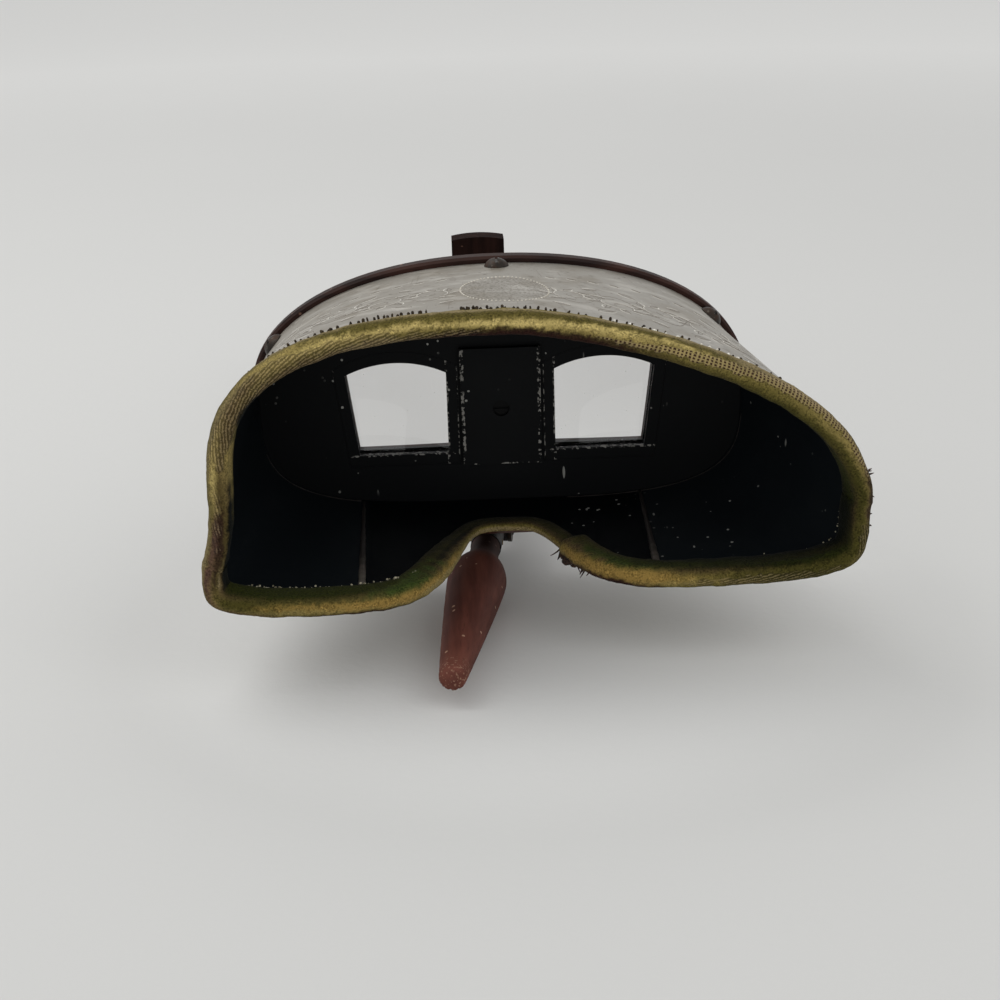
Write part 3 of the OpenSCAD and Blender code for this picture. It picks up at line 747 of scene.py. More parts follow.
def carry(made: bpy.types.Object, name: str, vectors: np.ndarray) -> None:
    """Stores a vector at each point of a mesh, for its material to read."""
    kept = made.data.attributes.new(name, "FLOAT_VECTOR", "POINT")
    kept.data.foreach_set("vector", vectors.astype(np.float32).ravel())


def unit(vectors: np.ndarray) -> np.ndarray:
    """Rows scaled to length 1."""
    return vectors / np.linalg.norm(vectors, axis=-1, keepdims=True)


@dataclass(frozen=True)
class Side:
    """One side of an outline in X and Z: rounded quarters above and below its widest line.

    The upper quarter may lean outward by a share of its reach, and may be dented.
    """

    reach: float
    widest: float
    rise: float
    crown: float
    drop: float
    foot: float
    lean: float = 0.0
    dent: float = 0.0
    soft: float = 0.08

    def point(self, angle: np.ndarray, inset: float) -> tuple[np.ndarray, np.ndarray]:
        """Places on the outline.

        Args:
            angle: Angles in radians.
            inset: How far inside the outline.

        Returns:
            Their X and their Z.
        """
        up = np.sin(angle) >= 0
        power = np.where(up, self.crown, self.foot)
        high = np.where(up, self.rise, self.drop) - inset
        near = (np.abs(np.cos(angle)) ** power + np.abs(np.sin(angle)) ** power) ** (1 / power)
        level = np.sin(angle) / near
        level = (level + np.sqrt(level**2 + self.soft**2)) / 2
        bent = 1 + self.lean * level - self.dent * level * (1 - np.minimum(level, 1.0)) ** 3
        return (self.reach - inset) * np.cos(angle) / near * bent, self.widest + high * np.sin(angle) / near


@dataclass(frozen=True)
class HoodForm:
    """The hood's sheet as a formula, from the ring on the lens board to its spread rear edge."""

    face: float
    floor: float
    lap: float = 8.0 * MM
    rim_step: float = 2.0 * MM
    sheet: float = 0.7 * MM
    seat: float = 0.1 * MM
    plane: float = 72.0 * MM
    forehead: float = 73.7 * MM
    left_depth: float = 71.0 * MM
    right_depth: float = 62.7 * MM
    nose_depth: float = 21.0 * MM
    nose_half: float = 18.5 * MM
    nose_power: float = 4.5
    board_half: float = 76.0 * MM
    shoulder: float = 37.0 * MM
    crown: float = 40.3 * MM
    reach: tuple[float, float] = (83.6 * MM, 101.3 * MM)
    widest: tuple[float, float] = (12.3 * MM, 17.5 * MM)
    power: tuple[float, float] = (2.8, 1.5)
    lean: tuple[float, float] = (0.05, 0.2)
    dent: tuple[float, float] = (0.48, 0.0)
    corner: float = 6.5
    top: float = 78.4 * MM
    foot: float = -3.1 * MM
    board_power: tuple[float, float] = (2.15, 3.7)

    def board_side(self) -> Side:
        """The board's outline."""
        above, below = self.board_power
        return Side(self.board_half, self.floor + self.shoulder, self.crown, above, self.shoulder, below)

    def rear_side(self, number: int) -> Side:
        """The rear edge on one side, 0 for left and 1 for right."""
        widest, power = self.widest[number], self.power[number]
        rise, drop = self.top - widest, widest - self.foot
        reach, lean, dent = self.reach[number], self.lean[number], self.dent[number]
        return Side(reach, self.floor + widest, rise, power, drop, self.corner, lean, dent)

    def outline(self, angle: np.ndarray, rear: bool, inset: float) -> np.ndarray:
        """X and Z of the board's ring or of the rear edge, as rows."""
        if not rear:
            return np.stack(self.board_side().point(angle, self.rim_step + inset), -1)
        left, right = (np.stack(self.rear_side(n).point(angle, inset), -1) for n in (0, 1))
        return np.where((np.cos(angle) < 0)[:, None], left, right)

    def depth(self, angle: np.ndarray) -> np.ndarray:
        """Distance of the rear edge behind the board's face at each angle."""
        side = np.where(np.cos(angle) < 0, self.left_depth, self.right_depth)
        share = ((side + self.nose_depth) / 2 / self.plane)[:, None]
        ring, rear = self.outline(angle, False, 0.0), self.outline(angle, True, 0.0)
        x = (ring + (rear - ring) * share)[:, 0]
        dip = 1 / (1 + (np.abs(x) / self.nose_half) ** self.nose_power)
        low = side + (self.nose_depth - side) * dip
        high = self.forehead + (side - self.forehead) * np.cos(angle) ** 2
        return np.where(np.sin(angle) >= 0, high, low)

    def wall(self, angle: np.ndarray, share: float, inset: float) -> np.ndarray:
        """Points of the sheet.

        Args:
            angle: Angles in radians.
            share: Share of the way from the board to the rear edge.
            inset: Distance inside the sheet's outer face.

        Returns:
            One row for each angle.
        """
        deep = self.depth(angle) * share
        ring, rear = self.outline(angle, False, inset), self.outline(angle, True, inset)
        flat = ring + (rear - ring) * (deep / self.plane)[:, None]
        return np.stack((flat[:, 0], self.face - deep, flat[:, 1]), -1)

    def front(self, angle: np.ndarray, inset: float) -> np.ndarray:
        """Points of the sheet's front edge, which laps over the board."""
        ring = self.outline(angle, False, inset)
        ahead = np.full(len(angle), self.face + self.lap - self.seat)
        return np.stack((ring[:, 0], ahead, ring[:, 1]), -1)

    def stations(self, start: float, stop: float, step: float, fine_steps: int = 4000) -> np.ndarray:
        """Angles at even steps along the rear edge.

        Args:
            start: First angle in degrees.
            stop: Last angle in degrees.
            step: Distance between stations.
            fine_steps: How finely the edge is measured.

        Returns:
            The angles in radians, both ends included.
        """
        fine = np.radians(np.linspace(start, stop, fine_steps))
        run = lengths(self.wall(fine, 1.0, 0.0))
        return np.interp(np.linspace(0.0, run[-1], round(run[-1] / step)), run, fine)

    def normal(self, angle: np.ndarray, share: float) -> np.ndarray:
        """The way out of the sheet at each angle."""
        turn, back = 0.01, 0.02
        round_it = self.wall(angle + turn, share, 0.0) - self.wall(angle - turn, share, 0.0)
        along = self.wall(angle, share + back, 0.0) - self.wall(angle, share - back, 0.0)
        return unit(np.cross(round_it, along))


def fade(share: float) -> float:
    """1 over the middle of the sheet's depth, falling to 0 at both of its ends."""
    return min(1.0, share * 3.0) * min(1.0, (1.0 - share) * 5.0)


def at_x(row: np.ndarray, x: float) -> np.ndarray:
    """The point where a row of points reaches an X."""
    order = np.argsort(row[:, 0])
    return np.array([np.interp(x, row[order, 0], row[order, k]) for k in range(3)])


def lengths(path: np.ndarray) -> np.ndarray:
    """Distance from the first point of a path to each of its points."""
    return np.concatenate(([0.0], np.cumsum(np.linalg.norm(np.diff(path, axis=0), axis=1))))


@dataclass
class Hood:
    """The sheet with its lap over the board, its black inside, its soldered seams and the bead oval."""

    form: HoodForm
    outer: OldSheet
    inner: BlackPaint
    station_gap: float = 1.6 * MM
    rows: int = 30
    ripple: float = 0.22 * MM
    ripples_in_metre: float = 26.0
    uneven_in_metre: float = 300.0
    clear_of_board: float = 0.03
    bottom: tuple[float, float] = (205.0, 335.0)
    seam_front: tuple[float, float] = (-43.2 * MM, 42.2 * MM)
    seam_rear: tuple[float, float] = (-42.0 * MM, 41.5 * MM)
    seam_half: float = 1.3 * MM
    seam_height: float = 0.45 * MM
    seam_section: tuple[int, ...] = (-60, -20, 20, 60, 90, 120, 160, 200, 240)
    seam_share: tuple[float, float] = (0.02, 0.93)
    joint_share: float = 0.012
    joint_runs: tuple[tuple[float, float], ...] = ((206.0, 238.0), (285.0, 345.0))
    joint_r: float = 0.3 * MM
    bead_top: tuple[float, float] = (60.0, 120.0)
    bead_count: int = 66
    bead_r: float = 0.31 * MM

    def ripples(self, points: Sequence[Sequence[float]]) -> np.ndarray:
        """Shallow waves of old sheet, as a distance out of it at each point."""
        return np.array([noise.noise(Vector(p) * self.ripples_in_metre) for p in points]) * self.ripple

    def way_out(self, angle: np.ndarray, share: float) -> np.ndarray:
        """The way out of the sheet; close to the board it is that of a place a little further back."""
        return self.form.normal(angle, max(share, self.clear_of_board))

    def spot(self, angle: float, share: float) -> tuple[Vector, Vector]:
        """A place on the waved sheet.

        Args:
            angle: Angle in radians.
            share: Share of the way from the board to the rear edge.

        Returns:
            The place and the way out of the sheet.
        """
        turned = np.array([angle])
        base = self.form.wall(turned, share, 0.0)
        out = Vector(self.way_out(turned, share)[0])
        return Vector(base[0]) + out * (float(self.ripples(base)[0]) * fade(share)), out

    def face_rings(self, angle: np.ndarray, inset: float) -> list[np.ndarray]:
        """Rings of one face of the waved sheet, from its lap over the board to its rear edge."""
        rings = [self.form.front(angle, inset)]
        for share in np.linspace(0.0, 1.0, self.rows):
            moved = self.ripples(self.form.wall(angle, share, 0.0)) * fade(share)
            rings.append(self.form.wall(angle, share, inset) + self.way_out(angle, share) * moved[:, None])
        return rings

    def shell(self) -> bpy.types.Object:
        """Builds the sheet.

        Returns:
            The shell, which stands for the frame's hood.
        """
        form, maker = self.form, MeshMaker()
        crown = 90.0
        angle = form.stations(crown, crown + 360.0, self.station_gap)[:-1]
        outer, inner = self.face_rings(angle, 0.0), self.face_rings(angle, form.sheet)[::-1]
        count, rings = len(angle), len(outer)
        maker.grid(np.array(outer), slot=0)
        maker.grid(np.array(inner), slot=1)
        maker.band((rings - 1) * count, rings * count, count)
        maker.band((2 * rings - 1) * count, 0, count)
        made = maker.build("hood_shell", "viewer", "hood_sheet", self.outer, self.inner)
        middle = form.wall(angle, 0.5, 0.0)
        run = np.linalg.norm(np.diff(middle, axis=0, append=middle[:1]), axis=1)
        round_it = np.concatenate(([0.0], np.cumsum(run)[:-1]))
        round_it = np.where(round_it > run.sum() / 2, round_it - run.sum(), round_it)
        flat = [
            np.stack((round_it, line[:, 1], np.full(count, side)), -1)
            for side, face in ((0.0, outer), (1.0, inner))
            for line in face
        ]
        carry(made, "sheet", np.concatenate(flat))
        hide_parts("hood")
        return made

    def seams(self, finish: SeamPaint) -> None:
        """Builds the soldered laps of the bottom sheet, as ridges on the hood's inside."""
        bottom = np.radians(np.linspace(*self.bottom, 900))
        maker = MeshMaker()
        for front, rear in zip(self.seam_front, self.seam_rear):
            rings = []
            for share in np.linspace(*self.seam_share, 24):
                wall = self.form.wall(bottom, share, self.form.sheet)
                spot = at_x(wall, front + (rear - front) * share)
                uneven = noise.noise(Vector(spot) * self.uneven_in_metre)
                wide = self.seam_half * (0.35 + 0.65 * share + 0.2 * uneven)
                turn = np.radians(self.seam_section)
                section = (np.cos(turn) * wide, np.zeros_like(turn), np.sin(turn) * self.seam_height)
                rings.append(spot + np.stack(section, -1))
            maker.grid(np.array(rings)[:, ::-1], caps=True)
        # Joint lines along the board, in the seam paint's front tone, lighter than the black inside: partly
        # glue, partly painted highlight.
        for start, stop in self.joint_runs:
            angle = np.radians(np.linspace(start, stop, 40))
            path = [Vector(p) for p in self.form.wall(angle, self.joint_share, self.form.sheet)]
            uneven = [noise.noise(spot * self.uneven_in_metre) for spot in path]
            maker.tube(path, [self.joint_r * (0.7 + 0.4 * share) for share in uneven])
        maker.build("hood_seams", "viewer", "hood_sheet", finish)

    def medal_beads(self) -> None:
        """Builds the ring of small punched beads round the bare oval on the hood's top."""
        maker = MeshMaker()
        top = np.radians(np.linspace(*self.bead_top, 400))
        (mid_x, mid_y), (half_x, half_y) = self.outer.medal_middle, self.outer.medal_half
        for a in circle(self.bead_count):
            x, y = mid_x + half_x * math.cos(a), mid_y + half_y * math.sin(a)
            wall = self.form.wall(top, (self.form.face - y) / self.form.forehead, 0.0)
            spot = Vector((x, y, at_x(wall, x)[2]))
            spot.z += self.ripples([spot])[0]
            maker.lump(spot, UP, self.bead_r, self.bead_r * 0.9, 0.1)
        sheen = PlainStuff("bead_metal", tone(178, 172, 158), tone(214, 209, 197), 0.4)
        maker.build("hood_oval_beads", "viewer", "hood_sheet", sheen)


@dataclass
class HoodEngraving:
    """Leafy scrolls cut into the hood's top, alike on both sides of the oval.

    They are drawn flat in millimetres: first along the sheet from its crown, then back from the board.
    The strokes are kept by whether they are bright: the bright ones, a copy beside each spiral and one side
    of each leaf, are painted highlight, and the dark cuts are partly dirt and partly painted shade.
    """

    hood: Hood
    cut: float = 0.4 * MM
    proud: float = 0.06 * MM
    first: float = 20.0
    pitch: float = 13.0
    scrolls: int = 5
    middle: float = 37.0
    swing: float = 8.0
    curl_r: float = 7.0
    turns: float = 1.3
    highlight_offset: tuple[float, float] = (0.45, -0.5)
    leaves: int = 6
    leaf_l: float = 5.2
    leaf_w: float = 1.3
    top_side: tuple[float, float] = (5.0, 175.0)
    fewest_spots: int = 4
    plain_front: float = 0.12
    plain_rear: float = 9.5 * MM
    strokes: dict[bool, list[Line]] = field(default_factory=lambda: {False: [], True: []})

    def curl(self, x: float, y: float, start: float, hand: float) -> None:
        """Draws a spiral with leaves outside it.

        Args:
            x: Middle along the sheet.
            y: Middle back from the board.
            start: Angle of its outer end.
            hand: 1 where it turns with the angle, and else -1.
        """

        def place(s: float) -> tuple[float, float, float]:
            """Flat place on the spiral at a share of its length, and its angle there."""
            a, r = start + hand * math.tau * self.turns * s, self.curl_r * (1.0 - 0.82 * s**0.8)
            return x + r * math.cos(a), y + r * math.sin(a), a

        line = [place(s)[:2] for s in np.linspace(0.0, 1.0, 30)]
        self.strokes[False].append(line)
        aside, back = self.highlight_offset
        # A bright copy beside the spiral: painted highlight.
        self.strokes[True].append([(u + aside, v + back) for u, v in line[3:24]])
        for k in range(self.leaves):
            s = (k + 0.5) / self.leaves * 0.6
            u, v, a = place(s)
            self.leaf(u, v, a + hand * 0.9, 1.0 - 0.5 * s)

    def leaf(self, x: float, y: float, way: float, size: float) -> None:
        """Draws a pointed leaf with its vein.

        Args:
            x: Its root along the sheet.
            y: Its root back from the board.
            way: Angle that it points in.
            size: Its size as a share of the largest.
        """
        across, along = math.sin(way), math.cos(way)
        for side in (-1.0, 0.0, 1.0):
            line = []
            for s in np.linspace(0.0, 1.0 if side else 0.8, 9):
                far = self.leaf_l * size * s
                off = self.leaf_w * size * side * math.sin(math.pi * s**0.8) + 0.9 * size * s * s
                line.append((x + far * along - off * across, y + far * across + off * along))
            # One side of the leaf is a painted highlight; the other side and the vein are dark.
            self.strokes[side > 0.5].append(line)

    def draw(self) -> None:
        """Draws one half of the ornament."""
        stem = []
        for u in np.linspace(self.first - 5.0, self.first + self.pitch * (self.scrolls - 0.5), 90):
            turn = (u - self.first) / self.pitch * math.pi
            stem.append((float(u), self.middle + self.swing * math.cos(turn)))
        self.strokes[False].append(stem)
        for k in range(self.scrolls):
            up = 1.0 if k % 2 else -1.0
            x = self.first + self.pitch * k
            self.curl(x, self.middle + up * 2.0, up * math.pi / 2 + math.pi, -up)
            self.leaf(x + 4.0, self.middle - up * 15.0, up * 0.7, 1.2)
            self.leaf(x - 3.0, self.middle - up * 14.0, math.pi - up * 0.5, 1.0)
        for k in range(9):
            self.leaf(self.first - 4.0 + 7.0 * k, 13.0, 0.25, 0.7)

    @cached_property
    def crown_run(self) -> tuple[np.ndarray, np.ndarray]:
        """Distances along the sheet from its crown, and the angle at each of them."""
        angle = np.radians(np.linspace(*self.top_side, 3000))
        run = lengths(self.hood.form.wall(angle, 0.5, 0.0))
        run = np.interp(math.pi / 2, angle, run) - run
        order = np.argsort(run)
        return run[order], angle[order]

    def laid(self, line: Line, mirror: float) -> list[tuple[Vector, Vector]]:
        """Places of a stroke on the sheet with the ways out of it; mirror is -1 on the left side."""
        spots = []
        for u, v in line:
            turned = float(np.interp(u * mirror * MM, *self.crown_run))
            deep = float(self.hood.form.depth(np.array([turned]))[0])
            share = v * MM / deep
            if self.plain_front < share < 1.0 - self.plain_rear / deep:
                spots.append(self.hood.spot(turned, share))
        return spots

    def strip(self, maker: MeshMaker, spots: Sequence[tuple[Vector, Vector]], slot: int) -> None:
        """Adds a stroke as a strip that thins at both ends, where enough of it lies on the sheet."""
        if len(spots) < self.fewest_spots:
            return
        rings, path = [], [spot for spot, _ in spots]
        for i, (spot, out) in enumerate(spots):
            way = heading(path, i).normalized()
            side = out.cross(way) * self.cut * (0.25 + 0.75 * math.sin(math.pi * (i + 0.5) / len(spots)))
            deep = out * self.proud
            rings.append([spot - side - deep, spot - deep * 3.0, spot + side - deep, spot + deep])
        maker.grid(np.array(rings), slot=slot, caps=True)

    def build(self) -> None:
        """Builds the strokes, the dark cuts, partly painted shade, and the painted highlights each in their
        finish.
        """
        self.draw()
        maker = MeshMaker()
        for bright, lines in self.strokes.items():
            for line in lines:
                for mirror in (-1.0, 1.0):
                    self.strip(maker, self.laid(line, mirror), int(bright))
        cut = PlainStuff("engraved_cut", tone(84, 77, 66), tone(112, 104, 92), 0.5)
        painted_highlight_cut = PlainStuff("painted_highlight_cut", tone(178, 173, 163), tone(204, 200, 190), 0.35)
        maker.build("hood_engraving", "viewer", "hood_sheet", cut, painted_highlight_cut)


class Tint(Enum):
    """Colours that the ribbon's velvet and its woven back have faded to; PAINTED_SHADE is painted shade."""

    STRAW = tone(196, 176, 112)
    OCHRE = tone(150, 133, 80)
    TAN = tone(130, 116, 84)
    OLIVE = tone(106, 96, 50)
    DRAB = tone(80, 72, 34)
    GOLD = tone(146, 120, 64)
    BROWN = tone(90, 74, 50)
    PLUM = tone(86, 65, 54)
    DEEP = tone(68, 64, 28)
    UMBER = tone(54, 42, 30)
    MAROON = tone(44, 25, 20)
    MOSS = tone(46, 50, 16)
    LEAF = tone(64, 78, 34)
    PAINTED_SHADE = tone(10, 13, 7)


class Weave(Enum):
    """How the woven back shows where the pile is gone, as the channel that carries it."""

    MESH = 0
    TWILL = 1


# Tints across the band, from the outer edge to the inner one: lighter at the fold's crest, partly painted
# sheen, and darker towards the inner edge inside the hood, partly painted shade.
BANDS = (
    (0.0, Tint.OLIVE),
    (0.24, Tint.TAN),
    (0.33, Tint.DRAB),
    (0.4, Tint.OLIVE),
    (0.45, Tint.OCHRE),
    (0.51, Tint.OLIVE),
    (0.6, Tint.BROWN),
    (0.75, Tint.DEEP),
    (1.0, Tint.UMBER),
)


@dataclass(frozen=True)
class Patch:
    """A place on the ribbon with its own look, by angle in degrees and share across the band."""

    look: Tint | Weave
    angle: float
    spread: float
    across: float
    reach: float
    strength: float = 1.0

    def weight(self, angle: np.ndarray, across: np.ndarray) -> np.ndarray:
        """Strength of the look at each point."""
        turn = (angle - self.angle + 180.0) % 360.0 - 180.0
        far = (turn / self.spread) ** 2 + ((across - self.across) / self.reach) ** 2
        return self.strength * np.exp(-(far**1.5))


# Patches laid in order. PAINTED_SHADE patches are painted shade inside the hood and the nose; the DEEP and
# UMBER patches from 312 round to 38 degrees are partly painted shade; the STRAW patches along the top of
# the fold are partly painted sheen.
PATCHES = (
    Patch(Tint.OLIVE, 66, 10, 0.62, 0.08),
    Patch(Tint.DRAB, 92, 34, 0.335, 0.05),
    Patch(Tint.STRAW, 66, 9, 0.385, 0.025, 0.7),
    Patch(Tint.STRAW, 79, 8, 0.41, 0.03, 0.9),
    Patch(Tint.STRAW, 91, 9, 0.447, 0.026, 1.1),
    Patch(Tint.STRAW, 105, 9, 0.442, 0.024, 0.8),
    Patch(Tint.STRAW, 119, 9, 0.42, 0.035, 0.7),
    Patch(Tint.OCHRE, 131, 9, 0.37, 0.05, 0.9),
    Patch(Tint.UMBER, 84, 14, 0.515, 0.03),
    Patch(Tint.MAROON, 87, 19, 0.575, 0.055, 1.3),
    Patch(Tint.TAN, 113, 8, 0.57, 0.05, 0.9),
    Patch(Tint.BROWN, 126, 12, 0.56, 0.06, 0.6),
    Patch(Tint.MAROON, 106, 10, 0.66, 0.03, 0.9),
    Patch(Tint.OLIVE, 130, 7, 0.66, 0.05, 0.8),
    Patch(Tint.BROWN, 141, 7, 0.46, 0.07, 0.9),
    Patch(Tint.PAINTED_SHADE, 140, 7, 0.71, 0.14, 1.5),
    Patch(Tint.TAN, 148, 14, 0.39, 0.05, 0.7),
    Patch(Tint.OCHRE, 154, 10, 0.44, 0.04, 0.8),
    Patch(Tint.STRAW, 159, 6, 0.445, 0.03, 0.6),
    Patch(Tint.BROWN, 152, 12, 0.53, 0.05, 0.8),
    Patch(Tint.OCHRE, 155, 8, 0.67, 0.12),
    Patch(Tint.PLUM, 174, 8, 0.45, 0.05, 1.1),
    Patch(Tint.MAROON, 173, 11, 0.50, 0.04),
    Patch(Tint.PAINTED_SHADE, 175, 12, 0.65, 0.08, 1.9),
    Patch(Tint.PAINTED_SHADE, 184, 16, 0.74, 0.12, 1.6),
    Patch(Tint.PAINTED_SHADE, 196, 24, 0.84, 0.20, 1.4),
    Patch(Tint.TAN, 186, 20, 0.34, 0.05, 0.7),
    Patch(Tint.PLUM, 194, 22, 0.43, 0.05, 1.1),
    Patch(Tint.UMBER, 190, 24, 0.51, 0.035),
    Patch(Tint.TAN, 193, 14, 0.565, 0.014),
    Patch(Tint.PLUM, 210, 6, 0.44, 0.05, 0.6),
    Patch(Tint.PAINTED_SHADE, 190, 24, 0.65, 0.045, 1.2),
    Patch(Tint.MOSS, 234, 19, 0.78, 0.23, 1.3),
    Patch(Tint.UMBER, 238, 18, 0.28, 0.10, 0.9),
    Patch(Tint.BROWN, 223, 9, 0.38, 0.06),
    Patch(Tint.DEEP, 225, 9, 0.50, 0.07),
    Patch(Tint.GOLD, 238, 10, 0.50, 0.035, 0.8),
    Patch(Tint.GOLD, 248, 8, 0.48, 0.05, 1.3),
    Patch(Tint.MAROON, 243, 6, 0.38, 0.035, 0.9),
    Patch(Tint.LEAF, 250, 5, 0.62, 0.09),
    Patch(Tint.LEAF, 252, 2.5, 0.72, 0.1),
    Patch(Tint.PAINTED_SHADE, 268, 13, 0.84, 0.24, 0.8),
    Patch(Tint.MOSS, 268, 10, 0.57, 0.04, 0.4),
    Patch(Tint.PAINTED_SHADE, 260, 5, 0.67, 0.05, 0.8),
    Patch(Tint.GOLD, 254, 4, 0.50, 0.045, 1.1),
    Patch(Tint.OCHRE, 256, 5, 0.45, 0.05, 1.1),
    Patch(Tint.TAN, 267, 13, 0.44, 0.05, 0.9),
    Patch(Tint.MAROON, 286, 7, 0.37, 0.09, 1.3),
    Patch(Tint.TAN, 276, 5, 0.38, 0.05, 0.8),
    Patch(Tint.GOLD, 289, 8, 0.50, 0.06, 1.3),
    Patch(Tint.GOLD, 288, 5, 0.56, 0.05),
    Patch(Tint.OLIVE, 289, 6, 0.62, 0.045),
    Patch(Tint.LEAF, 288, 5, 0.70, 0.09, 1.1),
    Patch(Tint.MOSS, 297, 13, 0.74, 0.12, 1.1),
    Patch(Tint.PAINTED_SHADE, 304, 16, 0.93, 0.22),
    Patch(Tint.DEEP, 312, 11, 0.45, 0.13),
    Patch(Tint.PAINTED_SHADE, 313, 14, 0.63, 0.09, 1.1),
    Patch(Tint.DEEP, 334, 14, 0.42, 0.09),
    Patch(Tint.DEEP, 327, 22, 0.53, 0.07),
    Patch(Tint.MOSS, 324, 24, 0.64, 0.06, 0.9),
    Patch(Tint.PAINTED_SHADE, 330, 26, 0.85, 0.20, 1.1),
    Patch(Tint.MAROON, 352, 14, 0.34, 0.05),
    Patch(Tint.UMBER, 358, 15, 0.42, 0.055, 1.1),
    Patch(Tint.DEEP, 2, 22, 0.53, 0.06),
    Patch(Tint.PAINTED_SHADE, 354, 22, 0.76, 0.20),
    Patch(Tint.MOSS, 12, 12, 0.70, 0.12, 0.9),
    Patch(Tint.DEEP, 38, 26, 0.60, 0.12),
    Patch(Tint.PAINTED_SHADE, 27, 9, 0.72, 0.08, 0.8),
    Patch(Tint.TAN, 40, 16, 0.31, 0.06),
    Patch(Tint.OLIVE, 44, 16, 0.47, 0.05, 0.9),
    Patch(Weave.MESH, 14, 10, 0.39, 0.06, 0.9),
    Patch(Weave.MESH, 28, 11, 0.365, 0.06, 1.2),
    Patch(Weave.MESH, 42, 10, 0.375, 0.06, 1.2),
    Patch(Weave.MESH, 54, 8, 0.41, 0.05, 1.1),
    Patch(Weave.MESH, 63, 7, 0.45, 0.045),
    Patch(Weave.MESH, 72, 6, 0.49, 0.035, 0.8),
    Patch(Weave.TWILL, 102, 10, 0.54, 0.05, 0.8),
    Patch(Weave.TWILL, 118, 13, 0.53, 0.10, 1.1),
    Patch(Weave.TWILL, 134, 13, 0.51, 0.12, 1.1),
    Patch(Weave.TWILL, 148, 9, 0.49, 0.12),
    Patch(Weave.TWILL, 168, 14, 0.46, 0.06, 0.55),
    Patch(Weave.TWILL, 308, 13, 0.45, 0.08, 0.7),
    Patch(Weave.TWILL, 334, 16, 0.44, 0.10, 0.6),
)


@dataclass(frozen=True)
class RearEdge:
    """The middle of the sheet's rear edge at each station, and the ways along it, inward and out."""

    middle: np.ndarray
    along: np.ndarray
    into: np.ndarray
    out: np.ndarray


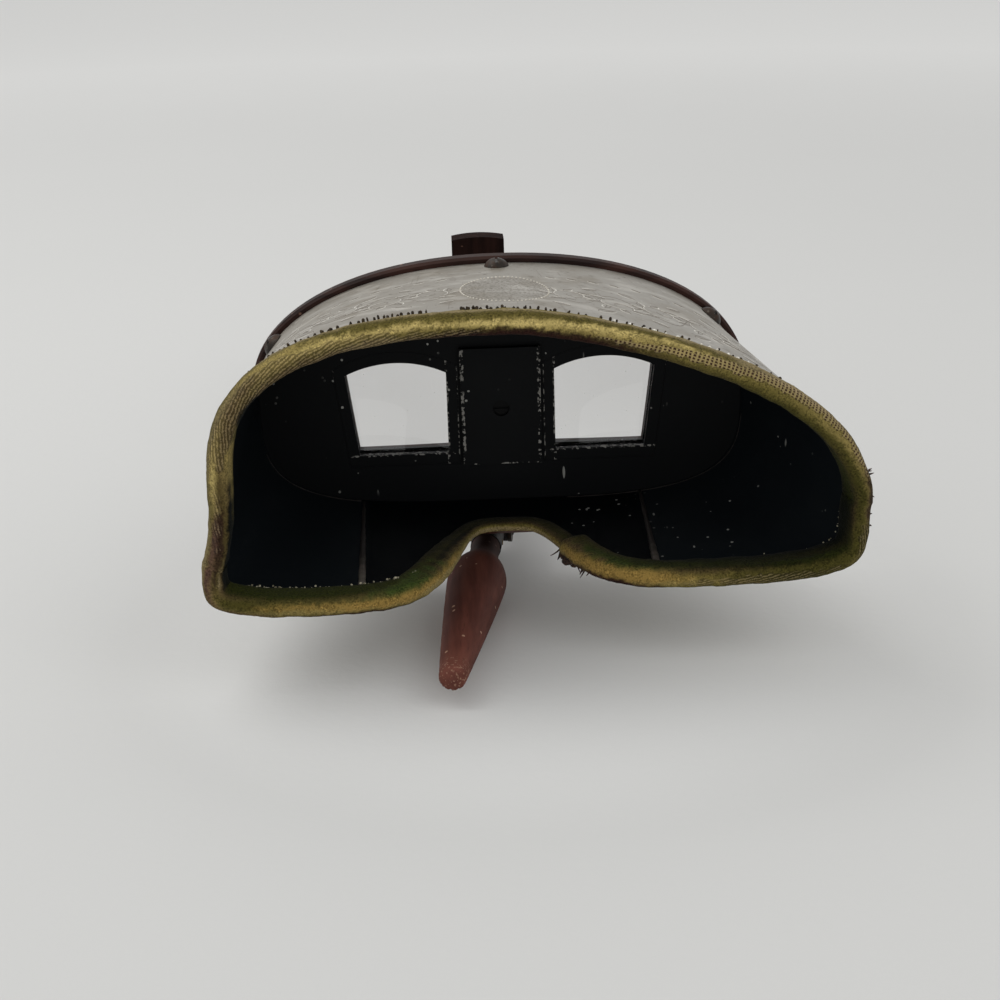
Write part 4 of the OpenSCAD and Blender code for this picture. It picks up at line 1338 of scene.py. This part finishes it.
@dataclass
class Ribbon:
    """The velvet ribbon folded over the hood's rear edge, from its torn end round to the nose.

    Angles are degrees; out_t, in_t and edge_t are its thickness outside, inside and at its edge.
    """

    form: HoodForm
    velvet: RibbonVelvet
    torn_end: float = 281.0
    round_all: float = 359.6
    station_gap: float = 0.9 * MM
    leg: float = 7.5 * MM
    out_t: float = 1.6 * MM
    in_t: float = 3.8 * MM
    fold: float = 3.0 * MM
    edge_t: float = 0.9 * MM
    lump: float = 0.28 * MM
    lumps_in_metre: float = 210.0
    fuzz: float = 0.12 * MM
    fuzz_in_metre: float = 900.0
    ragged: float = 0.034
    ragged_degrees: float = 4.0
    ragged_in_metre: tuple[float, float] = (330.0, 910.0)
    nose_wear: tuple[float, float] = (256.0, 262.0)
    nose_thinning: float = 0.62

    def section(self) -> np.ndarray:
        """Control points of the fold's visible side: distance into the sheet, and out of it."""
        slot = self.form.sheet / 2 + self.form.seat
        leg, out_t, in_t, fold = self.leg, self.out_t, self.in_t, self.fold
        return np.array(
            [
                (leg, slot + self.edge_t * 0.2),
                (leg - 0.4 * MM, slot + self.edge_t * 0.8),
                (leg - 1.6 * MM, slot + self.edge_t),
                (leg * 0.35, slot + out_t * 0.9),
                (0.0, slot + out_t * 0.95),
                (-fold * 0.78, slot + out_t * 0.2),
                (-fold, -in_t * 0.45),
                (-fold * 0.6, -in_t - slot * 0.2),
                (leg * 0.15, -slot - in_t),
                (leg * 0.65, -slot - in_t * 0.96),
                (leg - 0.9 * MM, -slot - in_t * 0.66),
                (leg, -slot - in_t * 0.1),
            ]
        )

    def profile(self, points_between: int = 4) -> np.ndarray:
        """The section's visible side as a smooth line through its control points."""
        given = self.section()
        ends = np.vstack((2 * given[0] - given[1], given, 2 * given[-1] - given[-2]))
        line = []
        for a, b, c, d in zip(ends, ends[1:], ends[2:], ends[3:]):
            for t in np.arange(points_between) / points_between:
                line.append(
                    0.5 * (2 * b + (c - a) * t + (2 * a - 5 * b + 4 * c - d) * t**2)
                    + 0.5 * (3 * b - a - 3 * c + d) * t**3
                )
        return np.array([*line, given[-1]])

    def thickness(self, angle: np.ndarray) -> np.ndarray:
        """Share of the full thickness at each angle in degrees: thin where the nose has worn it."""
        start, stop = self.nose_wear
        worn = np.clip((angle - start) / (stop - start), 0.0, 1.0) * (angle < self.torn_end)
        return 1.0 - self.nose_thinning * worn * worn * (3 - 2 * worn)

    def paint(
        self, rings: np.ndarray, degrees: np.ndarray, across: np.ndarray
    ) -> tuple[np.ndarray, np.ndarray]:
        """Lays the bands and patches over the ribbon.

        Args:
            rings: Its points, by station and place in the section.
            degrees: Angle of each station.
            across: Share across the band of each place in the section.

        Returns:
            The colour of each point and how far each weave shows there.
        """
        flat = rings.reshape(-1, 3)
        wander = [[noise.noise(Vector(p) * scale) for p in flat] for scale in self.ragged_in_metre]
        slow, fast = (np.array(row).reshape(rings.shape[:2]) for row in wander)
        angle = degrees[:, None] + slow * self.ragged_degrees
        share = across[None, :] + (slow * 0.6 + fast) * self.ragged
        places, tints = zip(*((place, tint.value[:3]) for place, tint in BANDS))
        colour = np.stack([np.interp(share, places, channel) for channel in zip(*tints)], -1)
        wear = np.zeros_like(colour)
        for patch in PATCHES:
            weight = np.clip(patch.weight(angle, share), 0.0, 1.0)
            if isinstance(patch.look, Tint):
                top = np.array(patch.look.value[:3])
                colour = colour + (top - colour) * weight[..., None]
            else:
                channel = patch.look.value
                wear[..., channel] = np.maximum(wear[..., channel], weight)
        return colour, wear

    def rear_edge(self, angle: np.ndarray) -> RearEdge:
        """The sheet's rear edge at each angle."""
        half, turn, deeper = self.form.sheet / 2, 0.004, 0.8
        middle = self.form.wall(angle, 1.0, half)
        along = unit(self.form.wall(angle + turn, 1.0, half) - self.form.wall(angle - turn, 1.0, half))
        into = unit(self.form.wall(angle, deeper, half) - middle)
        out = unit(np.cross(into, along))
        return RearEdge(middle, along, unit(np.cross(along, out)), out)

    def swept(self, profile: np.ndarray, edge: RearEdge, thick: np.ndarray) -> np.ndarray:
        """Sweeps the section round the hood's rear edge.

        Args:
            profile: The section's visible side.
            edge: The sheet's rear edge.
            thick: Share of the full thickness at each station.

        Returns:
            Points by station and place in the section.
        """
        seat = self.form.seat
        slot = self.form.sheet / 2 + seat
        section = np.vstack((profile, [(self.leg, -slot), (-seat, -slot), (-seat, slot), (self.leg, slot)]))
        rings = np.empty((len(thick), len(section), 3))
        for j, (deep, high) in enumerate(section):
            shrunk = np.sign(high) * (slot + (abs(high) - slot) * thick) if abs(high) > slot else high
            depth = deep * (np.where(thick < 1.0, 0.55 + 0.45 * thick, 1.0) if deep > 0 else thick)
            rings[:, j] = edge.middle + edge.into * np.reshape(depth, (-1, 1))
            rings[:, j] += edge.out * np.reshape(shrunk, (-1, 1))
        return rings

    def roughen(self, rings: np.ndarray, edge: RearEdge, thick: np.ndarray, shown: int) -> None:
        """Raises lumps and fuzz on the ribbon's visible side.

        Args:
            rings: Its points, which are moved.
            edge: The sheet's rear edge.
            thick: Share of the full thickness at each station.
            shown: How many places of the section are visible.
        """
        tangent = np.roll(rings, -1, axis=1) - np.roll(rings, 1, axis=1)
        away = unit(np.cross(np.broadcast_to(edge.along[:, None], tangent.shape), tangent))
        away *= np.sign((away * (rings - edge.middle[:, None])).sum(-1))[..., None]
        for i, j in np.ndindex(len(rings), shown - 2):
            spot = Vector(rings[i, j + 1])
            rise = noise.noise(spot * self.lumps_in_metre) * self.lump
            rise += noise.noise(spot * self.fuzz_in_metre) * self.fuzz
            rings[i, j + 1] += away[i, j + 1] * rise * thick[i]

    def build(self, rests_on: bpy.types.Object) -> bpy.types.Object:
        """Builds the ribbon.

        Args:
            rests_on: The sheet that it is folded over; not used.

        Returns:
            The ribbon, which stands for the frame's hood binding.
        """
        form = self.form
        angle = form.stations(self.torn_end, self.torn_end + self.round_all, self.station_gap)
        degrees = np.degrees(angle) % 360.0
        edge = self.rear_edge(angle)
        profile = self.profile()
        thick = np.where(degrees > self.torn_end, 1.0, self.thickness(degrees))
        rings = self.swept(profile, edge, thick)
        self.roughen(rings, edge, thick, len(profile))
        maker = MeshMaker()
        maker.grid(rings, caps=True)
        made = maker.build("velvet_ribbon", "viewer", "velvet", self.velvet)
        walk, run = lengths(profile), lengths(edge.middle)
        hidden = (1.0, 0.5, 0.5, 0.0)
        across = np.concatenate((walk / walk[-1], hidden))
        lay = np.zeros_like(rings)
        lay[..., 0], lay[..., 1] = run[:, None], across[None, :]
        carry(made, "ribbon", lay)
        tints, wear = self.paint(rings, degrees, across)
        carry(made, "tint", tints)
        carry(made, "wear", wear)
        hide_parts("hood_binding")
        return made


@dataclass(frozen=True)
class Stretch:
    """A run of small things along the ribbon's edge: angles in degrees, their number and size."""

    start: float
    stop: float
    count: int
    size: float


def scattered(runs: Sequence[Stretch], draw: random.Random, margin: float) -> Iterator[tuple[float, float]]:
    """Gives the small things of some runs their places.

    Args:
        runs: The runs.
        draw: Source of the random draws, one for each thing just before it is built.
        margin: Share of a thing's own room that stays free at both ends.

    Yields:
        The angle of each thing in degrees, and the size that its run gives it.
    """
    for run in runs:
        for k in range(run.count):
            place = (k + draw.uniform(margin, 1.0 - margin)) / run.count
            yield run.start + (run.stop - run.start) * place, run.size


def anywhere(draw: random.Random, reach: float) -> Vector:
    """A random vector with each component up to a reach."""
    return Vector([draw.uniform(-reach, reach) for _ in range(3)])


@dataclass
class RibbonTrim:
    """Thread ends, dried glue, crumbs and loose threads along the ribbon.

    A fray has its angle in degrees, its number of threads and their reach, and a knot its angle and size.
    """

    form: HoodForm
    leg: float
    edge_height: float
    inner_t: float
    tufts: tuple[Stretch, ...] = (
        Stretch(93.5, 83.0, 13, 0.9 * MM),
        Stretch(82.0, 66.0, 12, 0.7 * MM),
        Stretch(66.0, 52.0, 4, 0.6 * MM),
        Stretch(98.0, 94.0, 6, 0.9 * MM),
        Stretch(117.0, 103.0, 17, 0.85 * MM),
        Stretch(138.0, 117.5, 18, 0.85 * MM),
        Stretch(168.0, 141.0, 15, 0.7 * MM),
        Stretch(52.0, 30.0, 6, 0.45 * MM),
    )
    glue: tuple[Stretch, ...] = (
        Stretch(76.0, 46.0, 14, 0.5 * MM),
        Stretch(125.0, 119.0, 3, 0.3 * MM),
        Stretch(96.0, 90.0, 3, 0.3 * MM),
    )
    crumbs: tuple[Stretch, ...] = (
        Stretch(224.0, 249.0, 50, 0.4 * MM),
        Stretch(246.0, 254.0, 16, 0.34 * MM),
        Stretch(302.0, 345.0, 12, 0.26 * MM),
    )
    frays: tuple[tuple[float, int, float], ...] = (
        (280.8, 34, 3.2 * MM),
        (283.0, 12, 2.0 * MM),
        (9.0, 5, 1.1 * MM),
        (3.0, 5, 0.8 * MM),
        (346.0, 4, 0.9 * MM),
        (351.0, 4, 0.7 * MM),
        (357.0, 5, 0.8 * MM),
    )
    knots: tuple[tuple[float, float], ...] = (
        (280.2, 1.0 * MM),
        (280.7, 1.5 * MM),
        (281.1, 1.2 * MM),
        (281.6, 0.8 * MM),
    )
    thread_radii: tuple[float, ...] = (0.3 * MM, 0.26 * MM, 0.18 * MM, 0.08 * MM)
    seed: int = 11

    def edge(self, angle: float, inside: bool, past: float) -> tuple[Vector, Vector]:
        """A place beside the ribbon's edge.

        Args:
            angle: Angle in degrees.
            inside: Whether it lies on the sheet's inside.
            past: Distance beyond the ribbon's edge.

        Returns:
            The place and the way out of the sheet.
        """
        turned = np.array([math.radians(angle)])
        share = 1.0 - (self.leg + past) / float(self.form.depth(turned)[0])
        inset = self.form.sheet if inside else 0.0
        spot = self.form.wall(turned, share, inset)[0]
        out = self.form.normal(turned, share)[0] * (-1.0 if inside else 1.0)
        return Vector(spot), Vector(out)

    def rim(self, angle: float) -> tuple[Vector, Vector, Vector]:
        """A place on the sheet's rear edge, with the ways out of the sheet and back past the edge."""
        turned, near, ahead = np.array([math.radians(angle)]), 0.97, 0.9
        spot = Vector(self.form.wall(turned, 1.0, 0.0)[0])
        out = Vector(self.form.normal(turned, near)[0])
        return spot, out, Vector(unit(spot - Vector(self.form.wall(turned, ahead, 0.0)[0])))

    def build(self) -> None:
        """Builds the four kinds of trim, in an order that the draws depend on."""
        draw = random.Random(self.seed)
        self.thread_ends(draw)
        self.dried_glue(draw)
        self.glue_crumbs(draw)
        self.loose_threads(draw)

    def thread_ends(self, draw: random.Random) -> None:
        """Builds the stubs that stand up along the outer edge."""
        finish = PlainStuff("thread_ends", tone(30, 25, 18), tone(62, 50, 32), 0.95)
        maker = MeshMaker()
        for angle, size in scattered(self.tufts, draw, 0.1):
            spot, out = self.edge(angle, False, draw.uniform(-0.7, 0.1) * MM)
            spot = spot + out * self.edge_height
            for _ in range(draw.choice((1, 1, 2))):
                lean = anywhere(draw, 0.5)
                tall = size * draw.uniform(0.35, 1.2)
                thick = draw.uniform(0.24, 0.42) * MM
                way = (out + lean).normalized()
                path = [spot - out * self.edge_height, spot + way * tall * 0.6, spot + way * tall]
                maker.tube(path, (thick, thick * draw.uniform(1.0, 1.4), thick * 0.7))
        maker.build("ribbon_thread_ends", "viewer", "velvet", finish)

    def dried_glue(self, draw: random.Random) -> None:
        """Builds the pale drops along the outer edge."""
        finish = PlainStuff("dried_glue", tone(196, 190, 174), tone(232, 230, 222), 0.4)
        maker = MeshMaker()
        for angle, size in scattered(self.glue, draw, 0.2):
            spot, out = self.edge(angle, False, draw.uniform(-0.5, 0.2) * MM)
            spot = spot + out * self.edge_height * 0.8
            maker.lump(spot, out, size * draw.uniform(0.7, 1.4), size, 0.5)
        maker.build("ribbon_glue", "viewer", "velvet", finish)

    def glue_crumbs(self, draw: random.Random) -> None:
        """Builds the dull crumbs along the inner edge."""
        finish = PlainStuff("glue_crumbs", tone(104, 98, 74), tone(182, 176, 152), 0.7)
        maker = MeshMaker()
        for angle, size in scattered(self.crumbs, draw, 0.0):
            past = draw.choice((draw.uniform(-1.5, -0.4), draw.uniform(-2.4, -0.6)))
            spot, out = self.edge(angle, True, past * MM)
            spot = spot + out * self.inner_t * (0.86 + 0.3 * (-1.5 - past))
            maker.lump(spot, out, size * draw.uniform(0.4, 1.3), size * 0.8, 0.8)
        maker.build("ribbon_glue_crumbs", "viewer", "velvet", finish)

    def loose_threads(self, draw: random.Random) -> None:
        """Builds the frayed threads and knots at the torn end and on the right corner."""
        finish = PlainStuff("frayed_threads", tone(22, 14, 11), tone(66, 44, 30), 0.9)
        maker = MeshMaker()
        for angle, count, reach in self.frays:
            for _ in range(count):
                rim, out, back = self.rim(angle + draw.uniform(-1.0, 1.0))
                drift = anywhere(draw, 1.0)
                way = out * draw.uniform(0.2, 1.0) + back * draw.uniform(0.2, 1.0) + drift * 0.6
                way.normalize()
                start = rim + back * 1.6 * MM + drift * 0.9 * MM
                long = reach * draw.uniform(0.4, 1.0)
                path = [start + way * long * s + drift * long * 0.4 * s * s for s in (0.0, 0.35, 0.7, 1.0)]
                maker.tube(path, self.thread_radii, 5)
        for angle, size in self.knots:
            rim, out, back = self.rim(angle)
            knot = rim + back * draw.uniform(1.6, 3.0) * MM + out * draw.uniform(1.2, 2.4) * MM
            maker.lump(knot, back + out * 0.4, size, size * 0.9, 1.0)
        maker.build("ribbon_loose_threads", "viewer", "velvet", finish)


@dataclass
class TurnedHandle:
    """The turned handle, from its ferrule over the belly to the worn tip."""

    wood: VarnishedWood
    joint: Mapping[str, object]
    ferrule: float = 18.0 * MM
    neck_r: float = 4.6 * MM
    shoulder: float = 26.0 * MM
    belly_r: float = 9.0 * MM
    belly: float = 48.0 * MM
    tip_r: float = 3.7 * MM
    length: float = 117.5 * MM
    round_edge: float = 1.4 * MM
    sides: int = 72
    ring_gap: float = 1.0 * MM
    in_ferrule: float = 0.6 * MM
    uneven: float = 0.06 * MM
    looks_in_metre: float = 90.0
    least_r: float = 0.1 * MM
    chip_reach: float = 12.0 * MM
    chip_depth: float = 0.9 * MM

    def radius(self, far: float) -> float:
        """Radius at a distance from the hinge."""
        if far < self.belly:
            share = min(1.0, max(0.0, (far - self.shoulder) / (self.belly - self.shoulder)))
            return self.neck_r + (self.belly_r - self.neck_r) * (1.0 - math.cos(math.pi * share)) / 2
        share = (far - self.belly) / (self.length - self.belly)
        radius = self.belly_r + (self.tip_r - self.belly_r) * share**1.15
        left = self.length - far
        if left < self.round_edge:
            short = self.round_edge - left
            radius -= self.round_edge - math.sqrt(max(0.0, self.round_edge**2 - short**2))
        return radius

    def build(self) -> bpy.types.Object:
        """Builds the handle.

        Returns:
            The turned wood, which stands for the frame's handle.
        """
        hinge, side = Vector(self.joint["pos_m"]), Vector(self.joint["axis"])
        way = side.cross(UP)
        start = self.ferrule - self.in_ferrule
        stations = list(np.arange(start, self.length - self.round_edge, self.ring_gap))
        stations += [self.length - self.round_edge * s for s in (0.8, 0.55, 0.3, 0.12, 0.02)]
        rings = []
        for far in stations:
            line = []
            chipped = max(0.0, (far - self.length + self.chip_reach) / self.chip_reach)
            for a in circle(self.sides):
                look = Vector((math.cos(a), math.sin(a), far * self.looks_in_metre))
                wide = self.radius(far) + noise.noise(look * 2.0) * self.uneven
                wide -= max(0.0, noise.noise(look * 5.0) - 0.1) * self.chip_depth * chipped
                turned = side * math.cos(a) + UP * math.sin(a)
                line.append(hinge + way * far + turned * max(wide, self.least_r))
            rings.append(line)
        maker = MeshMaker()
        maker.grid(np.array(rings)[:, ::-1], caps=True)
        made = maker.build("turned_handle", "folding_handle", "handle_wood", self.wood)
        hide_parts("handle")
        return made


def paint(finish: Finish, *nodes: str) -> None:
    """Gives nodes of the frame a finish."""
    material = finish.material()
    for name in nodes:
        for slot in frame["nodes"][name].material_slots:
            slot.material = material
        log.info("%s: %s", name, material.name)


@dataclass
class LensFront:
    """The lens board with its lenses, beads, panel and screws, which stay as the frame has them."""

    board_wood: VarnishedWood
    iron: OldMetal
    past_bead: float = 0.3 * MM
    past_lens: float = 2.0 * MM
    bead_width: float = 3.3 * MM

    def dress(self) -> None:
        """Gives each piece its finish."""
        low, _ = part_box("lens_board")
        bead_low, bead_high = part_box("lens_bead_right")
        panel_low, panel_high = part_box("centre_panel")
        _, lens_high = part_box("lens_right")
        board = PaintedBoard(
            "lens_board_wood",
            self.board_wood,
            BlackPaint(),
            inner_face=low.y,
            window_inner=bead_low.x - self.past_bead,
            window_outer=bead_high.x + self.past_bead,
            window_foot=bead_low.z - self.past_bead,
            window_top=bead_high.z + self.past_bead,
            window_back=lens_high.y + self.past_lens,
        )
        paint(board, "lens_board")
        rubbed = (ScuffAndHighlightEdge(0, panel_high.x, 1.5 * MM), ScuffAndHighlightEdge(2, panel_low.z, 0.5 * MM))
        paint(BlackPaint("panel_paint", flecks=0.6, edges=rubbed), "centre_panel")
        # The beads' pale edges are partly scuffs and partly painted highlight along the windows' rims.
        rubbed = (
            ScuffAndHighlightEdge(0, bead_low.x + self.bead_width, 0.5 * MM),
            ScuffAndHighlightEdge(0, bead_low.x, 0.4 * MM),
            ScuffAndHighlightEdge(2, bead_low.z + self.bead_width, 0.4 * MM),
            ScuffAndHighlightEdge(0, bead_high.x, 0.5 * MM),
        )
        paint(BlackPaint("bead_paint_and_highlights", flecks=0.5, edges=rubbed), "lens_bead_left", "lens_bead_right")
        paint(LensGlass(), "lens_left", "lens_right")
        paint(self.iron, "hood_screws", "rail_screws", "end_stop_screw", "swivel_screw")
        # Black paint over the screw, darker than the panel's: partly painted shade of its recess.
        paint(BlackPaint("screw_paint_and_shade", tone(2, 2, 2), tone(6, 6, 6), flecks=0.0), "panel_screw")


@dataclass
class Chassis:
    """The rail, septum, end stop, bracket and card carriage, which stay as the frame has them."""

    rail_wood: VarnishedWood
    cross_wood: VarnishedWood
    stop_wood: VarnishedWood
    iron: OldMetal
    brass: OldMetal

    def dress(self) -> None:
        """Gives each piece its finish."""
        # The ferrule's iron is darker than the other iron: painted shade under the hood.
        painted_shade = OldMetal("iron_with_painted_shade", tone(22, 15, 13), tone(13, 9, 8), tone(52, 38, 33), 0.3, 0.6)
        iron_nodes = ("handle_bracket", "handle_pin", "keeper_screws", "card_wire_left", "card_wire_right")
        paint(self.rail_wood, "rail", "septum_cleats")
        paint(self.cross_wood, "crossbar")
        paint(self.stop_wood, "end_stop")
        paint(BlackPaint("septum_paint", flecks=0.15), "septum")
        paint(painted_shade, "handle_ferrule")
        paint(self.iron, *iron_nodes)
        paint(self.brass, "ferrule_rivet", "keeper_plate", "friction_spring", "wire_staples")


@dataclass
class Studio:
    """The camera of the photograph, a pale floor and soft light."""

    floor_z: float
    focal: float = 1856.0
    picture: float = 1000.0
    sensor: float = 36.0
    place: tuple[float, float, float] = (-0.0154, -0.55015, 0.2023)
    elevation: float = 19.32
    azimuth: float = 1.5
    roll: float = -1.77
    floor_half: float = 14.0
    floor_near: Colour = tone(200, 200, 198)
    floor_far_painted_lighter: Colour = tone(226, 226, 224)
    floor_painted_light_pool: Colour = tone(230, 230, 228)
    light_pool_middle: tuple[float, float] = (0.01, -0.04)
    light_pool_reach: float = 0.13
    sky: float = 0.8
    key_power: float = 6.0
    fill_power: float = 1.2

    def camera(self) -> None:
        """Sets up the camera."""
        eye = bpy.data.cameras.new("photo_camera")
        eye.sensor_width = self.sensor
        eye.lens = self.focal / self.picture * self.sensor
        eye.clip_start, eye.clip_end = 0.01, 30.0
        made = placed("photo_camera", eye)
        up_tilt, turn, roll = (math.radians(a) for a in (self.elevation, self.azimuth, self.roll))
        ahead = Vector(
            (math.sin(turn) * math.cos(up_tilt), math.cos(turn) * math.cos(up_tilt), -math.sin(up_tilt))
        )
        right = ahead.cross(UP).normalized()
        up = right.cross(ahead)
        right, up = (
            right * math.cos(roll) + up * math.sin(roll),
            up * math.cos(roll) - right * math.sin(roll),
        )
        turned = Matrix((right, up, -ahead)).transposed().to_4x4()
        made.matrix_world = Matrix.Translation(self.place) @ turned
        bpy.context.scene.camera = made

    def floor(self) -> None:
        """Lays the floor, with a faint unevenness in its tone; it is painted lighter with distance to even
        out the lamps' falloff, and lighter still in a painted pool of light round the object, which softens
        its shadow.
        """
        mesh = bpy.data.meshes.new("floor")
        reach = self.floor_half
        corners = [(x * reach, y * reach, self.floor_z) for x, y in ((-1, -1), (1, -1), (1, 1), (-1, 1))]
        mesh.from_pydata(corners, [], [(0, 1, 2, 3)])
        graph = Graph(bpy.data.materials.new("pale_floor"))
        x, y, _ = graph.axes(graph.place)
        # Painted light: the tone lightens with distance, evening out the lamps' falloff.
        away = graph.step(x * x + y * y, 0.0, 3.0)
        colour = graph.mix(away + graph.noise(3.0, 2.0) * 0.1, self.floor_near, self.floor_far_painted_lighter)
        # Painted light: a lighter pool round the object softens its shadow.
        off_x, off_y = x - self.light_pool_middle[0], y - self.light_pool_middle[1]
        light_pool = graph.step(off_x * off_x + off_y * off_y, self.light_pool_reach**2, 0.0)
        colour = graph.mix(light_pool, colour, self.floor_painted_light_pool)
        layer = Layer(colour, 0.9, graph.noise(300.0) * (0.1 * MM))
        mesh.materials.append(graph.surface(layer, {"Specular IOR Level": 0.1}))
        made = placed("floor", mesh)
        made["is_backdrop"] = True

    def lights(self) -> None:
        """Sets the sky and two soft lamps."""
        world = bpy.data.worlds.new("studio")
        bpy.context.scene.world = world
        graph = Graph(world)
        light = graph.node("ShaderNodeBackground", {0: (1.0, 1.0, 1.0, 1.0), 1: self.sky})
        seen = graph.node("ShaderNodeBackground", {0: self.floor_near})
        from_camera = graph.node("ShaderNodeLightPath", {}, out="Is Camera Ray")
        mixed = graph.node("ShaderNodeMixShader", {0: from_camera, 1: light, 2: seen})
        graph.node("ShaderNodeOutputWorld", {0: mixed})
        lamps = (
            ("key", (-0.55, 0.25, 1.15), 1.0, self.key_power),
            ("fill", (0.7, -0.8, 0.8), 0.8, self.fill_power),
        )
        for name, spot, size, power in lamps:
            lamp = bpy.data.lights.new(name, "AREA")
            lamp.shape, lamp.size, lamp.energy = "DISK", size, power
            made = placed(name, lamp)
            made.location = spot
            made.rotation_euler = (-Vector(spot)).to_track_quat("-Z", "Y").to_euler()


def main() -> None:
    """Builds the scene round the frame."""
    logging.basicConfig(level=logging.INFO, format="%(message)s")
    cad_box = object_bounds()
    bpy.context.scene.view_settings.view_transform = "Standard"
    studio = Studio(floor_z=cad_box[0].z - FLOOR_GAP)
    studio.camera()
    studio.floor()
    studio.lights()

    iron = OldMetal("dark_iron", tone(42, 37, 32), tone(60, 44, 34), tone(110, 102, 92))
    brass = OldMetal("old_brass", tone(116, 94, 56), tone(78, 60, 38), tone(160, 136, 88))
    mahogany = VarnishedWood(
        "mahogany",
        tone(24, 14, 12),
        tone(60, 37, 30),
        tone(104, 78, 66),
        Grain.ALONG_X,
        roughness=0.6,
        coat=0.04,
    )
    rail = VarnishedWood("rail_wood", tone(48, 23, 17), tone(92, 48, 34), tone(128, 92, 70), Grain.ALONG_Y)
    cross = replace(rail, name="crossbar_wood", grain=Grain.ALONG_X)
    stop = VarnishedWood(
        "stop_wood",
        tone(22, 13, 11),
        tone(40, 24, 20),
        tone(80, 58, 48),
        Grain.ALONG_Z,
        roughness=0.8,
        wear=0.2,
        coat=0.0,
        gloss=0.04,
    )
    handle_wood = VarnishedWood(
        "handle_wood",
        tone(80, 46, 39),
        tone(114, 68, 57),
        tone(176, 140, 116),
        Grain.ALONG_Y,
        roughness=0.75,
        wear=0.35,
        coat=0.02,
        gloss=0.1,
        # Painted shade over the handle's neck, under the hood.
        painted_shade=(-34.0 * MM, -2.0 * MM),
        battered=(-86.0 * MM, -92.0 * MM),
    )

    low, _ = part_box("lens_board")
    form = HoodForm(face=low.y, floor=low.z)
    inside = BlackPaint(
        "hood_inside_paint",
        tone(21, 25, 28),
        tone(29, 32, 34),
        flecks=0.5,
        flecked_from=14.0 * MM,
        # Painted shade over the middle of the hood's inside, at the nose.
        painted_shade_within=40.0 * MM,
        gloss=0.02,
    )
    hood = Hood(form, OldSheet(), inside)
    shell = hood.shell()
    hood.seams(SeamPaint())
    hood.medal_beads()
    HoodEngraving(hood).build()
    ribbon = Ribbon(form, RibbonVelvet())
    ribbon.build(shell)
    RibbonTrim(form, ribbon.leg, ribbon.edge_t, ribbon.in_t).build()
    LensFront(mahogany, iron).dress()
    Chassis(rail, cross, stop, iron, brass).dress()
    fold = next(j for j in frame["joints"] if j["name"] == "handle_fold")
    TurnedHandle(handle_wood, fold).build()


if __name__ == "__main__":
    main()
